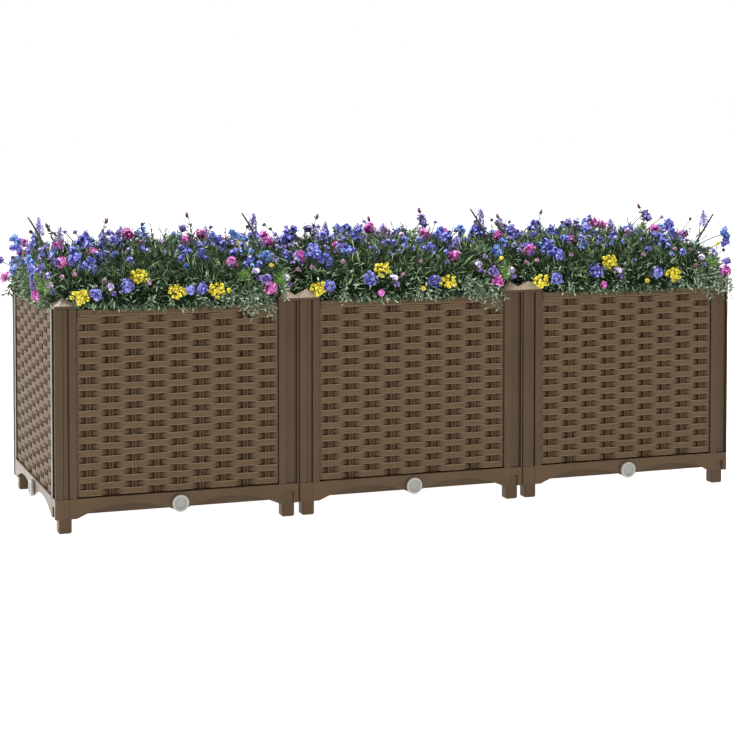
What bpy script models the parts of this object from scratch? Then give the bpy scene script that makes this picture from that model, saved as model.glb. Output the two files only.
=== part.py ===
"""Planted raised bed: three square wicker-look planters in a row, filled with soil and mixed flowers.

Each planter is a footed base with a water tray in it, four hollow corner posts with pyramid caps, four panels
slotted between the posts, a separator grid, drain plugs, a soil fill and a mass of plants. Metres, +Z up. The
origin is on the ground at the middle of the row, +X runs along the row and -Y is the front.
"""

import math

import bmesh
import bpy
from mathutils import Matrix, Vector

# Row of planters
PLANTERS = ("left", "middle", "right")
PITCH = 0.4000  # from one planter's middle to the next
SIDE = 0.3992  # outer side of one planter
HALF = SIDE / 2
FIT = 0.0003  # gap between pieces that touch
CUT_PAST = 0.01  # how far a cutter reaches past what it cuts
CUT_JUST_PAST = 0.001  # and where something else is near

# Heights
FOOT_HEIGHT = 0.0238
BASE_TOP = 0.0550
POST_TOP = 0.3535
CAP_EDGE = 0.3580
CAP_APEX = 0.3710
PANEL_TOP = 0.3588
SOIL_TOP = 0.3300

# Base
FOOT_SIDE = 0.0210
FOOT_INSET = 0.0063
APRON_WALL = 0.0030
DECK = 0.0030  # thickness of the deck that carries the posts and panels
CORNER_ROUND = 0.0020
EDGE_STEPS = 1
ARCH_MIDDLE = 0.0830  # from the side's middle to an arch's crown, and half an arch's span
ARCH_CROWN = 0.0430
ARCH_STEPS = 8
NOTCH = (0.0090, 0.0240, 0.0420, 0.0035)  # start and end from the corner, top, depth
FLAT_RECESS = (0.0135, 0.0228, 0.0008)  # start and end from the corner, depth

# Water tray, which hangs by its rim in a rebate of the base
TRAY_HALF = HALF - 0.0225
TRAY_WALL = 0.0030
TRAY_FLOOR = 0.0026
TRAY_BOTTOM = 0.0262
RIM_THICK = 0.0012
RIM_REACH = 0.0040

# Corner post, measured from the planter's outer corner
POST_SIDE = 0.0345
STRIP = 0.0025  # lip in front of a panel's edge
SLOT_END = 0.0095
FLANGE_END = 0.0115
POST_CORE = 0.0250
BORE = (0.0070, 0.0220)
SPIGOT_LENGTH = 0.0120
CAP_TIP = 0.0004
CHANNEL = (0.0040, 0.0212, 0.0040)  # start, end and depth of the channel on one face
CHANNEL_SLOPE = 0.0006  # how far its sides lean
FLUTES = 4
FLUTE_DEPTH = 0.0006
# The plain face: a shallow recess, then a narrow groove, as places from the corner and depths
PLAIN_FACE = (
    (0.0130, 0.0),
    (0.0140, 0.0014),
    (0.0203, 0.0016),
    (0.0204, 0.0040),
    (0.0225, 0.0040),
    (0.0226, 0.0),
)

# Panel
PANEL_THICK = (0.0028, 0.0092)  # tongue, from front to back
PANEL_FACE = 0.0015
PANEL_ROWS = 28
ROW_GROOVE = 0.0013
PANEL_SIDE_GAP = 0.0005  # between the face and the posts
PANEL_BACK_STEP = 0.0002  # how far the face's back lies inside the tongue's

# Drain plug
PLUG_HEIGHT = 0.0375
PLUG_RADIUS = 0.0148
PLUG_HEAD = 0.0058
PLUG_RIM = 0.0030
PLUG_EDGE = 0.0010  # chamfer round the head
RIM_SLOPE = 0.0006
PLUG_DISH = 0.0014
PLUG_STEPS = 16
SHANK_RADIUS = 0.0075
SHANK_LENGTH = 0.0230
PORT_RADIUS = 0.0079
PORT_STEPS = 16

# Separator grid and soil
GRID_THICK = 0.0030
GRID_HALF = HALF - 0.0105
GRID_HOLES = 3  # along each side
GRID_HOLE = 0.0400
CORNER_CLEAR = 0.0360  # square left free at each corner for the post
SOIL_CROWN = 0.0080
SOIL_SLOPE = 0.0300

# Plants
MASS_POINTS = 36
SPREAD_POWER = 6.0  # squareness of the mass above the rim
INSIDE_POWER = 3.0  # and inside the panels, where it clears the posts
PLANT_INSIDE = 0.1860
PLANT_RISE = 0.3724  # above the caps, where the plants may spread over the rim
PLANT_END = 0.2200
PLANT_BETWEEN = 0.1990
# Above the rim, level by level: height at the front and back, share of the width, front, back, lumps
PLANT_LEVELS = (
    (0.3764, 0.3764, 0.97, -0.2080, 0.2080, 0.0),
    (0.3880, 0.3950, 1.00, -0.2140, 0.2140, 0.0),
    (0.4080, 0.4300, 0.98, -0.2060, 0.2100, 0.004),
    (0.4300, 0.4620, 0.90, -0.1800, 0.1860, 0.010),
    (0.4480, 0.4780, 0.70, -0.1100, 0.1420, 0.014),
    (0.4580, 0.4840, 0.35, -0.0300, 0.0900, 0.006),
)

# A planter's sides and corners, anticlockwise from the front
SIDES = ("front", "right", "back", "left")
CORNERS = ("front_left", "front_right", "back_right", "back_left")
PLUGGED_SIDES = {"left": (0, 2, 3), "middle": (0, 2), "right": (0, 1, 2)}

COLOURS = {
    "brown_plastic": ((0.120, 0.076, 0.047, 1), 0.45),
    "woven_plastic": ((0.128, 0.084, 0.052, 1), 0.50),
    "plug_plastic": ((0.480, 0.480, 0.450, 1), 0.35),
    "grid_plastic": ((0.060, 0.050, 0.042, 1), 0.60),
    "soil": ((0.035, 0.022, 0.014, 1), 0.95),
    "foliage": ((0.060, 0.110, 0.045, 1), 0.70),
}


def collection(name):
    """A new collection in the scene."""
    made = bpy.data.collections.new(name)
    bpy.context.scene.collection.children.link(made)
    return made


def material(name):
    """A Principled material from the colour table."""
    colour, roughness = COLOURS[name]
    made = bpy.data.materials.new(name)
    made.use_nodes = True
    shader = made.node_tree.nodes["Principled BSDF"]
    shader.inputs["Base Color"].default_value = colour
    shader.inputs["Roughness"].default_value = roughness
    made.diffuse_color = colour
    return made


def welded(mesh):
    """The mesh with doubled points merged and its faces turned outwards."""
    bm = bmesh.new()
    bm.from_mesh(mesh)
    bmesh.ops.remove_doubles(bm, verts=bm.verts, dist=1e-6)
    bmesh.ops.recalc_face_normals(bm, faces=bm.faces)
    bm.to_mesh(mesh)
    bm.free()
    return mesh


def finished(bm, name):
    """A mesh made from a bmesh, faces outwards."""
    bmesh.ops.recalc_face_normals(bm, faces=bm.faces)
    mesh = bpy.data.meshes.new(name)
    bm.to_mesh(mesh)
    bm.free()
    return mesh


def add_box(bm, low, high, round_edges=0.0, lower_too=False):
    """A box between two corners, its upright edges bevelled if asked, and then the lower edges too."""
    low, high = Vector(low), Vector(high)
    place = Matrix.Translation((low + high) / 2) @ Matrix.Diagonal((*(high - low), 1))
    made = bmesh.ops.create_cube(bm, size=1, matrix=place)
    if not round_edges:
        return
    edges = {edge for vert in made["verts"] for edge in vert.link_edges}
    chosen = [edge for edge in edges if is_upright(edge) or (lower_too and is_low(edge, low.z))]
    bmesh.ops.bevel(bm, geom=chosen, offset=round_edges, segments=EDGE_STEPS, affect="EDGES", profile=0.5)


def is_upright(edge):
    """True for an edge along Z."""
    run = edge.verts[0].co - edge.verts[1].co
    return abs(run.z) > 1e-6 and abs(run.x) + abs(run.y) < 1e-6


def is_low(edge, level):
    """True for an edge that lies at the given height."""
    return all(abs(vert.co.z - level) < 1e-6 for vert in edge.verts)


def boxes(name, spans):
    """One mesh of separate boxes, each given by its lowest and highest corner."""
    bm = bmesh.new()
    for low, high in spans:
        add_box(bm, low, high)
    return finished(bm, name)


def outline(name, loops, thickness, place=Matrix()):
    """A flat outline, with holes as further loops, extruded to the thickness about its own plane."""
    curve = bpy.data.curves.new(name, "CURVE")
    curve.dimensions = "2D"
    curve.fill_mode = "BOTH"
    curve.extrude = thickness / 2
    for loop in loops:
        spline = curve.splines.new("POLY")
        spline.points.add(len(loop) - 1)
        for point, (x, y) in zip(spline.points, loop):
            point.co = (x, y, 0, 1)
        spline.use_cyclic_u = True
    mesh = baked(bpy.data.objects.new(name, curve))
    mesh.transform(place)
    return welded(mesh)


def baked(holder):
    """The evaluated mesh of an object, which is then removed."""
    cutters.objects.link(holder)
    graph = bpy.context.evaluated_depsgraph_get()
    mesh = bpy.data.meshes.new_from_object(holder.evaluated_get(graph))
    bpy.data.objects.remove(holder)
    return mesh


def carved(name, base, steps):
    """The base mesh after each step, a Boolean operation and the mesh of its tool."""
    work = bpy.data.objects.new(name, base)
    tools = []
    for operation, tool in steps:
        cutter = bpy.data.objects.new("cutter", tool)
        cutter.hide_render = True
        cutter.display_type = "WIRE"
        cutters.objects.link(cutter)
        tools.append(cutter)
        step = work.modifiers.new(operation.title(), "BOOLEAN")
        step.operation = operation
        step.solver = "EXACT"
        step.object = cutter
    mesh = baked(work)
    for cutter in tools:
        bpy.data.objects.remove(cutter)
    return welded(mesh)


def quarter(turns):
    """A turn about Z by a number of quarter circles."""
    return Matrix.Rotation(turns * math.pi / 2, 4, "Z")


def joined(name, meshes):
    """Several meshes as one."""
    bm = bmesh.new()
    for mesh in meshes:
        bm.from_mesh(mesh)
    return finished(bm, name)


def turned_copies(mesh, sides):
    """The mesh repeated on the sides of a planter, 0 for the front and then anticlockwise."""
    copies = []
    for side in sides:
        copy = mesh.copy()
        copy.transform(quarter(side))
        copies.append(copy)
    return joined(mesh.name, copies)


def facing_front(depth):
    """Places an outline drawn in X and Z so that its middle plane lies at the given Y."""
    return Matrix.Translation((0, depth, 0)) @ Matrix.Rotation(math.pi / 2, 4, "X")


def cylinder(name, radius, y_from, y_to, height, segments):
    """A cylinder along Y at the middle of a side, at the given height."""
    bm = bmesh.new()
    place = Matrix.Translation((0, (y_from + y_to) / 2, height)) @ Matrix.Rotation(math.pi / 2, 4, "X")
    bmesh.ops.create_cone(
        bm,
        cap_ends=True,
        segments=segments,
        radius1=radius,
        radius2=radius,
        depth=abs(y_to - y_from),
        matrix=place,
    )
    return finished(bm, name)


# Base and water tray


def arch_outline(middle):
    """One arch: a circular arc through the two springings and the crown, closed below the apron."""
    rise = ARCH_CROWN - FOOT_HEIGHT
    radius = (ARCH_MIDDLE**2 + rise**2) / (2 * rise)
    centre = ARCH_CROWN - radius
    sweep = math.asin(ARCH_MIDDLE / radius)
    steps = [sweep * (2 * k / ARCH_STEPS - 1) for k in range(ARCH_STEPS + 1)]
    arc = [(middle + radius * math.sin(a), centre + radius * math.cos(a)) for a in steps]
    below = FOOT_HEIGHT - 4 * CUT_JUST_PAST
    return [(arc[0][0], below)] + arc + [(arc[-1][0], below)]


def base_feet():
    """Four square feet with bevelled edges, reaching up to the water tray's underside."""
    bm = bmesh.new()
    far = HALF - FOOT_INSET
    near = far - FOOT_SIDE
    top = TRAY_BOTTOM - FIT
    for x in (-far, near):
        for y in (-far, near):
            add_box(bm, (x, y, 0), (x + FOOT_SIDE, y + FOOT_SIDE, top), CORNER_ROUND, True)
    return finished(bm, "feet")


def base_spigots():
    """Four pegs on the deck, one inside each post."""
    start = HALF - BORE[1] + FIT
    end = HALF - BORE[0] - FIT
    spans = [((start, start, BASE_TOP - DECK / 2), (end, end, BASE_TOP + SPIGOT_LENGTH))]
    return turned_copies(boxes("spigot", spans), range(4))


def flat_box(name, half_x, half_y, low, high):
    """A box about the planter's middle line, between two heights."""
    return boxes(name, [((-half_x, -half_y, low), (half_x, half_y, high))])


def base_mesh(sides):
    """The footed base: an apron with two arches on each side, a deck, and ports on the given sides."""
    bm = bmesh.new()
    add_box(bm, (-HALF, -HALF, FOOT_HEIGHT), (HALF, HALF, BASE_TOP), CORNER_ROUND)
    body = finished(bm, "base")
    well = TRAY_HALF + FIT
    between_posts = HALF - POST_SIDE
    apron = HALF - APRON_WALL
    seat = BASE_TOP - RIM_THICK - FIT
    rebate = flat_box("rebate", between_posts, TRAY_HALF + RIM_REACH + FIT, seat, BASE_TOP + CUT_PAST)
    hollow = flat_box("hollow", between_posts, apron, -CUT_PAST, BASE_TOP - DECK)
    start, end, top, depth = NOTCH
    notch = ((HALF - end, -HALF - CUT_PAST, CUT_PAST), (HALF - start, -HALF + depth, top))
    start, end, depth = FLAT_RECESS
    recess = ((start - HALF, -HALF - CUT_PAST, CUT_PAST), (end - HALF, depth - HALF, BASE_TOP + CUT_PAST))
    arches = outline(
        "arches",
        [arch_outline(-ARCH_MIDDLE), arch_outline(ARCH_MIDDLE)],
        APRON_WALL + 2 * CUT_JUST_PAST,
        facing_front(-HALF + APRON_WALL / 2),
    )
    steps = [
        ("DIFFERENCE", flat_box("well", well, well, -CUT_PAST, BASE_TOP + CUT_PAST)),
        ("DIFFERENCE", rebate),
        ("DIFFERENCE", turned_copies(rebate, (1,))),
        ("DIFFERENCE", hollow),
        ("DIFFERENCE", turned_copies(hollow, (1,))),
        ("DIFFERENCE", turned_copies(arches, range(4))),
        ("DIFFERENCE", turned_copies(boxes("details", [notch, recess]), range(4))),
        ("UNION", base_feet()),
        ("UNION", base_spigots()),
        ("DIFFERENCE", turned_copies(port(), sides)),
    ]
    return carved("base", body, steps)


def port():
    """The hole for a drain plug, through the apron and the water tray's wall."""
    far, near = -HALF - CUT_PAST, -TRAY_HALF + CUT_PAST
    return cylinder("port", PORT_RADIUS, far, near, PLUG_HEIGHT, PORT_STEPS)


def water_tray_mesh(sides):
    """The water tray: a shallow basin with a rim all round, and ports on the given sides."""
    inside = TRAY_HALF - TRAY_WALL
    rim = flat_box("rim", HALF - POST_SIDE - FIT, TRAY_HALF + RIM_REACH, BASE_TOP - RIM_THICK, BASE_TOP)
    steps = [
        ("UNION", rim),
        ("UNION", turned_copies(rim, (1,))),
        ("DIFFERENCE", flat_box("basin", inside, inside, TRAY_BOTTOM + TRAY_FLOOR, BASE_TOP + CUT_PAST)),
        ("DIFFERENCE", turned_copies(port(), sides)),
    ]
    return carved("tray", flat_box("tray", TRAY_HALF, TRAY_HALF, TRAY_BOTTOM, BASE_TOP), steps)


# Corner post and cap


def channel_floor():
    """Points along the fluted floor of the post's channel, from the panel towards the corner."""
    start, end, depth = CHANNEL
    step = (end - start) / FLUTES
    points = []
    for k in range(FLUTES):
        edge = end - k * step
        points += [(depth, edge), (depth - FLUTE_DEPTH, edge - step / 4), (depth, edge - step / 2)]
    return points + [(depth, start)]


def post_outline():
    """The post's section: a plain face along X and a channelled face along Y, each with a panel slot."""
    plain_face = [(CORNER_ROUND, 0), *PLAIN_FACE, (POST_SIDE, 0)]
    inside = [
        (POST_SIDE, STRIP),
        (POST_CORE, STRIP),
        (POST_CORE, SLOT_END),
        (POST_SIDE, SLOT_END),
        (POST_SIDE, FLANGE_END),
        (POST_CORE, FLANGE_END),
        (POST_CORE, POST_CORE),
    ]
    other_inside = [(y, x) for x, y in reversed(inside[:-1])]
    start, end, _ = CHANNEL
    channel_face = [(0, POST_SIDE), (0, end + CHANNEL_SLOPE)] + channel_floor()
    cut = 0.3 * CORNER_ROUND  # how far in the rounded corner's middle lies
    corner = [(0, start - CHANNEL_SLOPE), (0, CORNER_ROUND), (cut, cut)]
    return plain_face + inside + other_inside + channel_face + corner


def post_mesh():
    """A post at the planter's front left corner, with its bore."""
    near, far = BORE
    bore = [(near, near), (far, near), (far, far), (near, far)]
    height = POST_TOP - BASE_TOP - FIT
    place = Matrix.Translation((-HALF, -HALF, BASE_TOP + FIT + height / 2))
    return outline("post", [post_outline(), bore], height, place)


def loft(name, rings):
    """A closed solid through rings of points with the same count, its two ends filled."""
    bm = bmesh.new()
    levels = [[bm.verts.new(point) for point in ring] for ring in rings]
    count = len(levels[0])
    for lower, upper in zip(levels, levels[1:]):
        for k in range(count):
            after = (k + 1) % count
            bm.faces.new((lower[k], lower[after], upper[after], upper[k]))
    bm.faces.new(levels[0][::-1])
    bm.faces.new(levels[-1])
    return finished(bm, name)


def square_ring(middle, half, z):
    """Four corners of a square about a point on the planter's front left diagonal."""
    corner = -HALF + middle
    return [(corner + x * half, corner + y * half, z) for x, y in ((-1, -1), (1, -1), (1, 1), (-1, 1))]


def cap_mesh():
    """A pyramid on a square skirt, with a spigot below that fits the post's bore."""
    bore_middle = sum(BORE) / 2
    spigot = (BORE[1] - BORE[0]) / 2 - FIT
    half = POST_SIDE / 2 + FIT / 2
    skirt = POST_TOP + FIT
    rings = [
        square_ring(bore_middle, spigot, skirt - SPIGOT_LENGTH),
        square_ring(bore_middle, spigot, skirt),
        square_ring(half, half, skirt),
        square_ring(half, half, CAP_EDGE),
        square_ring(half, CAP_TIP, CAP_APEX),
    ]
    return loft("cap", rings)


# Panels


def panel_mesh():
    """The front panel: a tongue that fits the posts' slots and a ribbed face between the posts."""
    start = POST_CORE + FIT
    end = SIDE - start
    front, back = (-HALF + depth for depth in PANEL_THICK)
    low = BASE_TOP + FIT
    tongue = boxes("tongue", [((start - HALF, front, low), (end - HALF, back, POST_TOP))])
    return carved("panel", tongue, [("UNION", ribbed_face(low, back))])


def ribbed_face(low, back):
    """The panel's face: one shallow groove between each two woven rows, carried along X."""
    row = (PANEL_TOP - low) / PANEL_ROWS
    face = -HALF + PANEL_FACE
    ribs = []
    for k in range(PANEL_ROWS):
        ribs += [(face + ROW_GROOVE, low + k * row), (face, low + (k + 0.5) * row)]
    behind = back - PANEL_BACK_STEP
    shape = ribs + [(behind, PANEL_TOP), (behind, low)]
    along_x = Matrix.Rotation(math.pi / 2, 4, "Z") @ Matrix.Rotation(math.pi / 2, 4, "X")
    return outline("face", [shape], 2 * (HALF - POST_SIDE - PANEL_SIDE_GAP), along_x)


# Drain plug


def plug_mesh():
    """A turned plug at the middle of the front: a dished head with a raised rim, on a plain shank."""
    profile = [
        (0, PLUG_HEAD - PLUG_DISH),
        (PLUG_RADIUS - PLUG_RIM, PLUG_HEAD - PLUG_DISH),
        (PLUG_RADIUS - PLUG_RIM + RIM_SLOPE, PLUG_HEAD),
        (PLUG_RADIUS - PLUG_EDGE, PLUG_HEAD),
        (PLUG_RADIUS, PLUG_HEAD - PLUG_EDGE),
        (PLUG_RADIUS, FIT),
        (SHANK_RADIUS, FIT),
        (SHANK_RADIUS, -SHANK_LENGTH),
        (0, -SHANK_LENGTH),
    ]
    mesh = bpy.data.meshes.new("plug")
    mesh.from_pydata([(r, 0, z) for r, z in profile], [(k, k + 1) for k in range(len(profile) - 1)], [])
    holder = bpy.data.objects.new("plug", mesh)
    screw = holder.modifiers.new("Screw", "SCREW")
    screw.steps = screw.render_steps = PLUG_STEPS
    screw.use_merge_vertices = True
    screw.merge_threshold = 1e-5
    turned = welded(baked(holder))
    turned.transform(Matrix.Translation((0, -HALF, PLUG_HEIGHT)) @ Matrix.Rotation(math.pi / 2, 4, "X"))
    return turned


# Separator grid and soil


def notched_square(half):
    """A square with a square notch at each corner that leaves room for a post."""
    inner = HALF - CORNER_CLEAR
    quarter_turn = [(-inner, -half), (inner, -half), (inner, -inner)]
    points = []
    for _ in range(4):
        points += quarter_turn
        quarter_turn = [(-y, x) for x, y in quarter_turn]
    return points


def grid_mesh():
    """The separator grid: a notched plate with square drain holes, lying on the base's deck."""
    pitch = 2 * TRAY_HALF / (GRID_HOLES + 0.5)
    half = GRID_HOLE / 2
    middles = [(k - (GRID_HOLES - 1) / 2) * pitch for k in range(GRID_HOLES)]
    square = ((-half, -half), (half, -half), (half, half), (-half, half))
    holes = [[(x + a, y + b) for a, b in square] for x in middles for y in middles]
    place = Matrix.Translation((0, 0, BASE_TOP + FIT + GRID_THICK / 2))
    return outline("grid", [notched_square(GRID_HALF)] + holes, GRID_THICK, place)


def soil_mesh():
    """The soil fill: the same notched square as the grid, its upper edge sloping up to a low crown."""
    low = BASE_TOP + 2 * FIT + GRID_THICK
    levels = ((0, low), (0, SOIL_TOP - SOIL_CROWN), (SOIL_SLOPE, SOIL_TOP - FIT))
    rings = [[(x, y, z) for x, y in shrunk(notched_square(GRID_HALF), inset)] for inset, z in levels]
    return loft("soil", rings)


def shrunk(points, inset):
    """The points moved in towards the middle by the inset, along X and along Y."""
    return [(x - math.copysign(inset, x), y - math.copysign(inset, y)) for x, y in points]


# Plants


def rounded_ring(low, high, heights, power, lumps=0.0):
    """A superellipse between two corners, sloping from front to back, with lumps."""
    middle = [(a + b) / 2 for a, b in zip(low, high)]
    reach = [(b - a) / 2 for a, b in zip(low, high)]
    rise = heights[1] - heights[0]
    ring = []
    for k in range(MASS_POINTS):
        angle = 2 * math.pi * k / MASS_POINTS
        c, s = math.cos(angle), math.sin(angle)
        swell = (abs(c) ** power + abs(s) ** power) ** (-1 / power)
        x, y = middle[0] + reach[0] * c * swell, middle[1] + reach[1] * s * swell
        z = heights[0] + rise * (s * swell + 1) / 2
        ring.append((x, y, z + lumps * lump(x, y)))
    return ring


def lump(x, y):
    """A gentle unevenness between -1 and 1, repeating with the planters."""
    along = 2 * math.pi * x / PITCH
    return 0.6 * math.cos(3 * along + 9 * y) + 0.4 * math.cos(5 * along - 25 * y)


def plant_mesh(index):
    """A planter's plants: upright inside the rim, then spreading over it and closing in above."""
    centre = (index - 1) * PITCH
    left = -PLANT_END if index == 0 else -PLANT_BETWEEN
    right = PLANT_END if index == len(PLANTERS) - 1 else PLANT_BETWEEN
    low, high = (centre - PLANT_INSIDE, -PLANT_INSIDE), (centre + PLANT_INSIDE, PLANT_INSIDE)
    rings = [rounded_ring(low, high, (z, z), INSIDE_POWER) for z in (SOIL_TOP + FIT, PLANT_RISE)]
    for front_z, back_z, share, front, back, lumps in PLANT_LEVELS:
        low = (centre + left * share, front)
        high = (centre + right * share, back)
        rings.append(rounded_ring(low, high, (front_z, back_z), SPREAD_POWER, lumps))
    return loft("plants", rings)


# Putting the pieces together


def place(name, mesh, slot, x, turns=0):
    """A named object of the raised bed, turned about the middle of its planter."""
    piece = bpy.data.objects.new(name, mesh)
    piece.location = (x, 0, 0)
    piece.rotation_euler = (0, 0, turns * math.pi / 2)
    if not mesh.materials:
        mesh.materials.append(materials[slot])
    bed.objects.link(piece)
    return piece


def build():
    """Makes every piece of the three planters."""
    post, cap, panel, plug, grid, soil = (
        post_mesh(),
        cap_mesh(),
        panel_mesh(),
        plug_mesh(),
        grid_mesh(),
        soil_mesh(),
    )
    end_tray = water_tray_mesh(PLUGGED_SIDES["right"])
    middle_tray = water_tray_mesh(PLUGGED_SIDES["middle"])
    # The left end's tray is the right end's, turned half round
    trays = {"left": (end_tray, 2), "middle": (middle_tray, 0), "right": (end_tray, 0)}
    for index, planter in enumerate(PLANTERS):
        x = (index - 1) * PITCH
        plugged = PLUGGED_SIDES[planter]
        place(f"{planter}_base", base_mesh(plugged), "brown_plastic", x)
        tray, tray_turns = trays[planter]
        place(f"{planter}_water_tray", tray, "brown_plastic", x, tray_turns)
        place(f"{planter}_grid", grid, "grid_plastic", x)
        place(f"{planter}_soil", soil, "soil", x)
        place(f"{planter}_plants", plant_mesh(index), "foliage", 0)
        for turns, side in enumerate(SIDES):
            corner = CORNERS[turns]
            place(f"{planter}_{corner}_post", post, "brown_plastic", x, turns)
            place(f"{planter}_{corner}_cap", cap, "brown_plastic", x, turns)
            place(f"{planter}_{side}_panel", panel, "woven_plastic", x, turns)
            if turns in plugged:
                place(f"{planter}_{side}_plug", plug, "plug_plastic", x, turns)


for item in list(bpy.data.objects):
    bpy.data.objects.remove(item)
bed = collection("planted_raised_bed")
cutters = collection("cutters")
materials = {name: material(name) for name in COLOURS}
build()
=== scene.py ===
"""Looks of the planted raised bed: moulded brown planters with woven panels, soil, leaves and mixed flowers."""

import math

import bmesh
import bpy
import numpy as np
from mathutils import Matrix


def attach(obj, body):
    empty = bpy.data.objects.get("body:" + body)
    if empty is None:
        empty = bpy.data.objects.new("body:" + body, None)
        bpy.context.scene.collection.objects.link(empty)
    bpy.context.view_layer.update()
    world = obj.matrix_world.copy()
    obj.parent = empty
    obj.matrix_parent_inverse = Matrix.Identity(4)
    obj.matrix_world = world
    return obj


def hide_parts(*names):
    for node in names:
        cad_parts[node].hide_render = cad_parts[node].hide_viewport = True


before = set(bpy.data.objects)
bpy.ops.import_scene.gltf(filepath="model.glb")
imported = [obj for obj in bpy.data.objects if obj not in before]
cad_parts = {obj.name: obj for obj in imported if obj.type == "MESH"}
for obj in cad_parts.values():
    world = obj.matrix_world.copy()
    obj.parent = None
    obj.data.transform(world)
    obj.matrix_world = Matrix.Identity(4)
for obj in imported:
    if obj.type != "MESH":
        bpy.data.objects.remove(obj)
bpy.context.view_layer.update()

# The planters, as the solids have them, in metres
PLANTERS = {"left": -0.4, "middle": 0.0, "right": 0.4}
SIDES = ("front", "right", "back", "left")
HALF = 0.1996
POST_SIDE = 0.0345
BASE_TOP = 0.055
SOIL_TOP = 0.33
PLUG_HEIGHT = 0.0375
CM = 0.01
# Angles round a planter: all, those in its back half and those in its front half
ALL_ROUND = (0, 2 * math.pi)
BEHIND = (0.06 * math.pi, 0.94 * math.pi)
AHEAD = (1.06 * math.pi, 1.94 * math.pi)

# Woven panel
FIELD = 2 * (HALF - POST_SIDE - 0.0005)  # width between the posts
COLUMNS = 9
STRAPS = 27
RAIL_TOP = 0.352
RAIL = 0.0132  # height of the plain rail along the top
FOOT_GAP = 0.0022  # between the lowest strap and the base
WEAVE_TOP = RAIL_TOP - RAIL
PITCH = (WEAVE_TOP - BASE_TOP - FOOT_GAP) / STRAPS
STRAP_FRONT = 0.0018  # how far a strap's crown lies behind the posts' faces
STRAP_DIP = 0.0046  # how far a strap goes back where it passes behind the stakes
STRAP_THICK = 0.0022
END_GAP = 0.006  # of a strap's right end before the post, in columns
STAKE_APART = 0.00235  # from a column's middle to the middle of each of its two stakes
STAKE_HALF = 0.0024
STAKE_DEPTH = 0.006  # of a stake's middle behind the posts' faces where a strap covers it
STAKE_RISE = 0.0016  # how much further forward it is where the strap passes behind it
SEAT = 0.0006  # between the base and the lower end of the stakes and the back plate
EDGE = 0.0005  # width of the moulded pieces' softened edges
# Where a strap's rings of points stand in each column, from its middle, in columns: seen closely, seen, and hidden
CLOSE_RINGS = (0.0, 0.16, 0.28, 0.39, 0.5)
SEEN_RINGS = (0.0, 0.28, 0.4, 0.5)
HIDDEN_RINGS = (0.0, 0.5)

# A strap's section, up its front from the lower edge and down its flat back: where each point is, in half heights,
# how far it stands back, and its tone where the strap is in front of the stakes and where it is behind them. In
# front the tone gives grain lines, a painted highlight along the top edge and painted shade along the lower edge;
# behind, it goes dark towards the top as the painted shadow of the strap above
SECTION_PLACE = np.array([-1.0, -0.84, -0.55, -0.26, 0.02, 0.3, 0.58, 0.84, 1.0, 0.8, -0.8])
SECTION_RIDGE = np.array([1.7, 0.45, 0.55, 0.05, 0.5, 0.0, 0.5, 0.05, 0.9, 0.0, 0.0]) * 0.001
SECTION_BACK = np.array([0, 0, 0, 0, 0, 0, 0, 0, 0, STRAP_THICK, STRAP_THICK])
FRONT_TONE_WITH_PAINTED_LIGHT = np.array([0.34, 0.88, 0.72, 0.58, 0.78, 0.58, 0.72, 1.0, 1.0, 0.1, 0.1])
BEHIND_TONE_WITH_PAINTED_SHADOW = np.array([0.5, 0.8, 0.8, 0.76, 0.7, 0.6, 0.4, 0.1, 0.02, 0.1, 0.1])
PLAIN_SECTION = [0, 1, 3, 4, 5, 7, 8, 9, 10]  # the points that are enough where a panel isn't seen closely

# The plants' reach: the axis, how far out they stand freely, and within what further distance they are held
REACH = ((0, 0.62, 0.022), (1, 0.214, 0.013))
TUFT_LEAVES = 110  # in each lime tuft
RIM_SPRAYS, CORNER_SPRAYS = 26, 16  # over each front rim, and how many of them near its right corner
BACK_SPRAYS = 16  # over each back rim
UPRIGHT_SPRIGS, LOW_SPRIGS = 54, 26  # on each planter's mass, and how many of them may start low on it
END_SPRAYS = 5  # over each end of the row
GOLDEN_ANGLE = math.pi * (3 - math.sqrt(5))

rng = np.random.default_rng(7)


# Small tools for numpy surfaces


def eased(x, low, high):
    """The smooth step 3s^2 - 2s^3 of s = (x - low) / (high - low), held between 0 and 1."""
    s = np.clip((x - low) / (high - low), 0, 1)
    return s * s * (3 - 2 * s)


def grid_faces(rows, columns, closed=False):
    """Quads between neighbouring points of a grid; closed joins the last column to the first."""
    index = np.arange(rows * columns).reshape(rows, columns)
    after = np.roll(index, -1, axis=1) if closed else index[:, 1:]
    here = index if closed else index[:, :-1]
    return np.stack([here[:-1], after[:-1], after[1:], here[1:]], axis=-1).reshape(-1, 4)


def tube_faces(rows, columns):
    """Faces of a closed tube: quads round its rings of points, and a cap at each end."""
    ring = np.arange(columns)
    return [grid_faces(rows, columns, closed=True), ring[::-1][None], (ring + (rows - 1) * columns)[None]]


def inside_out(faces):
    """The same faces, turned to the other side."""
    return [group[:, ::-1] for group in faces]


def circle(count):
    """Even angles round a circle."""
    return np.linspace(0, 2 * math.pi, count, endpoint=False)


def surface(x, y, z):
    """A surface's points from its coordinates, each given along one or both of its directions."""
    return np.stack(np.broadcast_arrays(x, y, z), axis=-1)


def swollen(c, s, power):
    """How far the superellipse |x|^power + |y|^power = 1 reaches towards (c, s)."""
    return (np.abs(c) ** power + np.abs(s) ** power) ** (-1 / power)


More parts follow.
